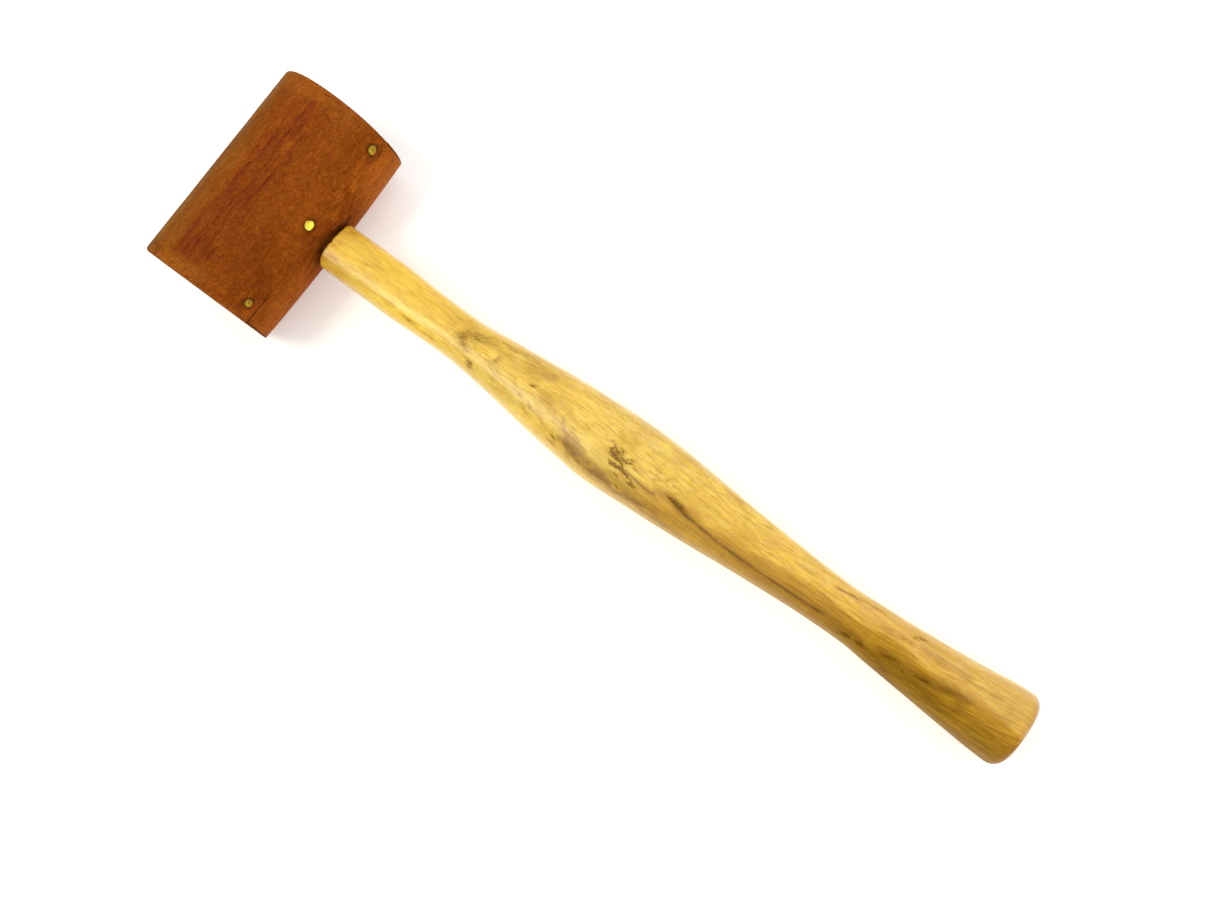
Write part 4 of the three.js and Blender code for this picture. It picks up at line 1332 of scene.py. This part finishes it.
def handle_material():
    net = Net("handle_wood")
    x, y, z = net.head_mm()
    tint = net.attribute("tint", COLOUR)
    pores, line, end = net.attribute("figure", VECTOR).split()
    face = 1.0 - end
    # fibres follow the length, drifting a little
    drift = net.noise(net.vec(x * 0.030, y * 0.09, z * 0.09), detail=2, rough=0.5)
    drift = (drift - 0.5) * 5.0
    y_bent, z_bent = y + drift, z - drift

    def grain(along, across, **settings):
        return net.noise(net.vec(x * along, y_bent * across, z_bent * across), **settings)

    fibre = grain(0.10, 1.25, detail=5, rough=0.64, warp=0.25)
    hair = grain(0.20, 1.9, detail=4, rough=0.64)
    blotch = grain(0.35, 0.75, detail=4, rough=0.6, warp=0.2)
    short = net.vec(x * 0.62, y_bent * 2.6 + x * 0.10, z_bent * 2.6)
    short = net.noise(short, detail=3, rough=0.55, warp=0.35)

    # on the painted part the fibres follow the painted flow
    flow, painted, lively = net.attribute("flow", VECTOR).split()

    def strands(along, across, layer, **settings):
        return net.noise(net.vec(x * along, flow * across, layer), **settings)

    flow_fibre = strands(0.10, 1.4, 3.0, detail=5, rough=0.68, warp=0.4)
    flow_hair = strands(0.18, 3.0, 7.0, detail=3, rough=0.62)
    fibre = flow_fibre * painted + fibre * (1.0 - painted)
    hair = flow_hair * painted + hair * (1.0 - painted)
    fine = fibre * 0.36 + hair * 0.50 + blotch * 0.14
    strand = strands(0.085, 2.0, 11.0, detail=4, rough=0.64, warp=0.5)
    broad = strands(0.042, 0.9, 19.0, detail=4, rough=0.62, warp=0.4)
    vivid = grain(0.5, 1.5, detail=4, rough=0.66)
    red, green = fine.span(0.39, 0.61, 0.80, 1.12), fine.span(0.39, 0.61, 0.70, 1.20)
    blue = (fine * 0.45 + vivid * 0.55).span(0.39, 0.61, 0.20, 1.75)
    colour = tint.times(net.vec(red, green, blue))
    hatch = (hair * 0.55 + strand * 0.45).ease(0.515, 0.60) * lively * painted
    colour = colour.mix(hatch * 0.42 * face, tint.times(net.vec(0.66, 0.60, 0.40)))
    dark = strand.ease(0.54, 0.66) * 0.75 + broad.ease(0.55, 0.68) * 0.55
    dark = dark * lively * painted
    colour = colour.mix(dark * 0.62 * face, tint.times((196, 176, 96)))
    pale = strand.ease(0.46, 0.34) * lively * painted
    colour = colour.mix(pale * 0.45 * face, tint.times(net.vec(1.22, 1.20, 1.25)))
    colour = colour.mix(fine.ease(0.50, 0.37) * 0.30, tint.times((222, 192, 130)))
    # open pores: rare in clear wood, crowded in the painted figure
    opened = (short + pores * 0.18 + 0.010).ease(0.655, 0.730)
    pore_colour = net.mix(pores.span(0.0, 1.0), (166, 118, 22), (98, 60, 4))
    colour = colour.mix(opened * pores.span(0.0, 0.8, 0.34, 0.80) * face, pore_colour)
    lines = (line + (hair - 0.5) * 0.9 + (short - 0.5) * 0.7).ease(0.30, 0.95)
    colour = colour.mix(lines * 0.72 * face, (98, 60, 3))

    # end grain: rings of open pores and rays
    spots = net.voronoi(net.vec(y, z, 0.0), scale=1.7)
    ray = net.noise(net.vec(y * 2.2, z * 0.25, 0.0), detail=3, rough=0.6)
    colour = colour.mix(spots.ease(0.30, 0.12) * 0.55 * end, (92, 58, 24))
    colour = colour.mix(ray.ease(0.52, 0.68) * 0.25 * end, (214, 172, 104))

    gloss = net.attribute("gloss")
    height = fibre * 0.42 + hair * 0.30 + blotch * 0.20 - opened * 0.30 * face
    height = height - lines * 0.25 * face - spots.ease(0.3, 0.1) * 0.5 * end
    return net.principled(
        Base_Color=colour,
        Roughness=fine.span(0.36, 0.64, 0.40, 0.30) + end * 0.22,
        Normal=height.bump(strength=0.35, distance=0.00022),
        Specular_IOR_Level=gloss.span(0.0, 1.0, 0.0, 0.15),
        Specular_Tint=(1.0, 0.86, 0.5, 1.0),
        Coat_Weight=gloss * 0.66,
        Coat_Roughness=0.34,
        Coat_Normal=(fibre * 0.5 + blotch * 0.5).bump(strength=0.42, distance=0.00024),
    )


def wedge_material():
    net = Net("wedge_wood")
    x, y, z = net.head_mm()
    fibre = net.noise(net.vec(x * 0.15, y * 1.2, z * 2.6), detail=4, rough=0.6, warp=0.2)
    mottle = net.noise(net.vec(x * 0.4, y * 0.6, z * 1.4), detail=4, rough=0.6)
    stops = [(0.35, (120, 76, 34)), (0.5, (156, 108, 54)), (0.66, (186, 140, 82))]
    colour = net.ramp(fibre * 0.5 + mottle * 0.5, stops)
    pits = net.voronoi(net.vec(y, z * 1.2, x * 0.1), scale=1.9).ease(0.30, 0.10)
    height = mottle * 0.5 + fibre * 0.4 - pits * 0.4
    return net.principled(
        Base_Color=colour.mix(pits * 0.60, (72, 42, 18)),
        Roughness=mottle.span(0.3, 0.7, 0.5, 0.7),
        Normal=height.bump(strength=0.5, distance=0.0002),
        Specular_IOR_Level=0.3,
    )


def brass_material(name, nail, bright):
    """Brass, bright on the handle nail and darker and rougher on the end nails, whose darker colour is
    painted shade for the weaker reflection they give; darker at the nail head's rim and below the
    surface.
    """
    net = Net(name)
    x, y, z = net.head_mm()
    axes = nail_axes(nail)
    across = x * float(axes[0, 0]) + z * float(axes[2, 0])
    along = y - nail["y"]
    out = x * float(axes[0, 2]) + z * float(axes[2, 2])
    radius = net.math("SQRT", across * across + along * along)
    cloud = net.vec(across * 0.9, along * 0.9, out * 0.2)
    cloud = net.noise(cloud, detail=4, rough=0.6, warp=0.3)
    fine = net.noise(net.vec(across * 3.0, along * 3.0, out), detail=3, rough=0.6)
    scratch = net.vec((across + along * 0.35) * 9.0, (along - across * 0.35) * 0.5, 0.0)
    scratch = net.noise(scratch, detail=2, rough=0.5)
    if bright:
        colour = net.mix(cloud, (252, 226, 40), (255, 250, 120))
        warm = (fine + across * -0.10).ease(0.58, 0.72)
        colour = colour.mix(warm * 0.75, (222, 140, 24))
        rim = (radius + (cloud - 0.5) * 1.2).ease(nail["r"] * 0.90, nail["r"] * 1.02)
        colour = colour.mix(rim * 0.85, (120, 84, 20))
        rough = (fine * 0.5 + scratch * 0.5).span(0.35, 0.65, 0.28, 0.46)
    else:
        # end nails: the darker brass is painted shade standing for their weaker reflection
        colour = net.mix(cloud.ease(0.40, 0.62), (138, 112, 32), (212, 176, 60))
        warm = (fine * 0.5 + cloud * 0.5 + across * 0.12).ease(0.52, 0.64)
        colour = colour.mix(warm * 0.55, (214, 132, 36))
        rim = (radius + (cloud - 0.5) * 1.8).ease(nail["r"] * 0.55, nail["r"])
        colour = colour.mix(rim * 0.75, (84, 66, 22))
        rough = fine.span(0.35, 0.65, 0.42, 0.60)
    below = out.ease(HEAD_R - 0.35, HEAD_R - 0.9)
    height = fine * 0.35 + scratch * 0.45 + cloud * 0.5
    return net.principled(
        Base_Color=colour.mix(below * 0.7, (120, 92, 36)),
        Metallic=1.0,
        Roughness=rough,
        Normal=height.bump(strength=0.45, distance=0.00012),
    )


# ------------------------------------------------------------------ assembly
def dress(ob, material, piece):
    ob.data.materials.clear()
    ob.data.materials.append(material)
    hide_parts(piece)
    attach(ob, "root")


dress(build_roll(), rawhide_material(), "rawhide_roll")
dress(build_handle(), handle_material(), "handle")
dress(build_wedge(), wedge_material(), "tenon_wedge")
for _name, _nail in NAILS.items():
    _brass = brass_material, ("brass_" + _name, _nail, _name == "handle_nail")
    dress(nail_solid(_name + "_brass", _nail), _brass[0](*_brass[1]), _name)


# ------------------------------------------------------------------ table, light and camera
def table_material():
    """Pale paper with a faint glow; absent from below and for shadow rays."""
    net = Net("table_paper")
    cloud = net.noise(net.add("TexCoord", out="Object"), detail=3, rough=0.5, scale=3.0)
    colour = net.mix(cloud, (0.95, 0.95, 0.948, 1), (0.97, 0.97, 0.968, 1))
    paper = net.add("BsdfDiffuse", {"Color": colour})
    clear = net.add("BsdfTransparent")
    back = net.add("NewGeometry", out="Backfacing")
    absent = net.math("MAXIMUM", back, net.add("LightPath", out="Is Shadow Ray"))
    glow = net.add("Emission", {"Strength": 0.30})
    lit = net.add("AddShader", (paper, glow))
    return net.finish(net.add("MixShader", (absent, lit, clear)))


def build_table():
    """A round table top, laid so that the head and the butt both rest on it."""
    points = [vertex.co for vertex in bpy.data.objects["handle_wood"].data.vertices]
    lowest = min(point.z for point in points)
    rest_x = max(points, key=lambda point: -point.z * 1000 + point.x).x
    count = 96
    verts = [(0, 0, 0)]
    for radius in (0.4, 1.2, 4.0):
        angles = [TAU * i / count for i in range(count)]
        verts += [(radius * math.cos(a), radius * math.sin(a), 0) for a in angles]
    faces = [[0, 1 + i, 1 + (i + 1) % count] for i in range(count)]
    for start in (1, 1 + count):
        for i in range(count):
            after = (i + 1) % count
            outer = start + count
            faces.append([start + i, outer + i, outer + after, start + after])
    ob = link_mesh("table_top", verts, faces)
    if ob.data.polygons[0].normal.z < 0:
        ob.data.flip_normals()
    ob.rotation_euler = (0, -math.atan(lowest / (rest_x - HEAD_CENTRE.x)), 0)
    ob.location = (HEAD_CENTRE.x, 0, -0.0003)
    ob.data.materials.append(table_material())


# Softboxes and cards in metres: name, place, aim, width, height, watts, colour
WHITE = (1, 1, 1)
LIGHTS = [
    ("key_softbox", (-0.50, -0.40, 1.17), (-0.082, 0, 0.01), 0.36, 0.46, 5.4, (0.985, 1.0, 0.86)),
    ("top_softbox", (0.19, 0.23, 1.32), (0.03, 0, 0), 1.2, 0.9, 1.4, WHITE),
    ("side_card", (1.00, 0.10, 0.09), (-0.12, 0, 0.04), 0.30, 0.12, 0.5, WHITE),
    ("back_card", (-1.15, 0.20, 0.55), (-0.12, 0, 0.02), 0.9, 1.1, 0.5, WHITE),
    ("right_card", (0.12, 0.95, 0.75), (0.05, 0, 0.02), 0.8, 0.8, 2.7, WHITE),
    ("under_card", (0, 0, -1.0), (0, 0.0001, 0), 1.6, 1.6, 1.6, WHITE),
]


def add_light(name, place, aim, width, height, watts, colour):
    light = bpy.data.lights.new(name, "AREA")
    light.shape = "RECTANGLE"
    light.size, light.size_y = width, height
    light.energy = watts
    light.color = colour
    ob = bpy.data.objects.new(name, light)
    bpy.context.scene.collection.objects.link(ob)
    ob.location = place
    # the lamp's own X stays level
    back = -(Vector(aim) - Vector(place)).normalized()
    level = Vector((0, 1, 0)).cross(back).normalized()
    upright = back.cross(level).normalized()
    ob.rotation_euler = Matrix((level, upright, back)).transposed().to_euler()


def add_camera():
    camera = bpy.data.cameras.new("camera")
    camera.sensor_width = 36.0
    camera.lens = 36.1229041
    camera.clip_start = 0.01
    camera.clip_end = 50
    ob = bpy.data.objects.new("camera", camera)
    bpy.context.scene.collection.objects.link(ob)
    look = Vector((-0.1597782, 0.08556813, -0.98343735)).normalized()
    right = look.cross(Vector((-0.57605758, 0.80093521, 0.16328033))).normalized()
    up = right.cross(look).normalized()
    place = HEAD_CENTRE + Vector((0.21544075, -0.03853209, 0.40468831))
    turn = Matrix((right, up, -look)).transposed().to_4x4()
    ob.matrix_world = Matrix.Translation(place) @ turn
    bpy.context.scene.camera = ob


def set_world():
    world = bpy.data.worlds.new("studio")
    bpy.context.scene.world = world
    world.use_nodes = True
    background = world.node_tree.nodes["Background"]
    background.inputs["Color"].default_value = (1.0, 1.0, 1.0, 1)
    background.inputs["Strength"].default_value = 0.66


build_table()
for _light in LIGHTS:
    add_light(*_light)
set_world()
add_camera()

view = bpy.context.scene.view_settings
view.view_transform = "Standard"
view.look = "None"
view.exposure = 0.0
view.gamma = 1.0

bpy.context.view_layer.update()
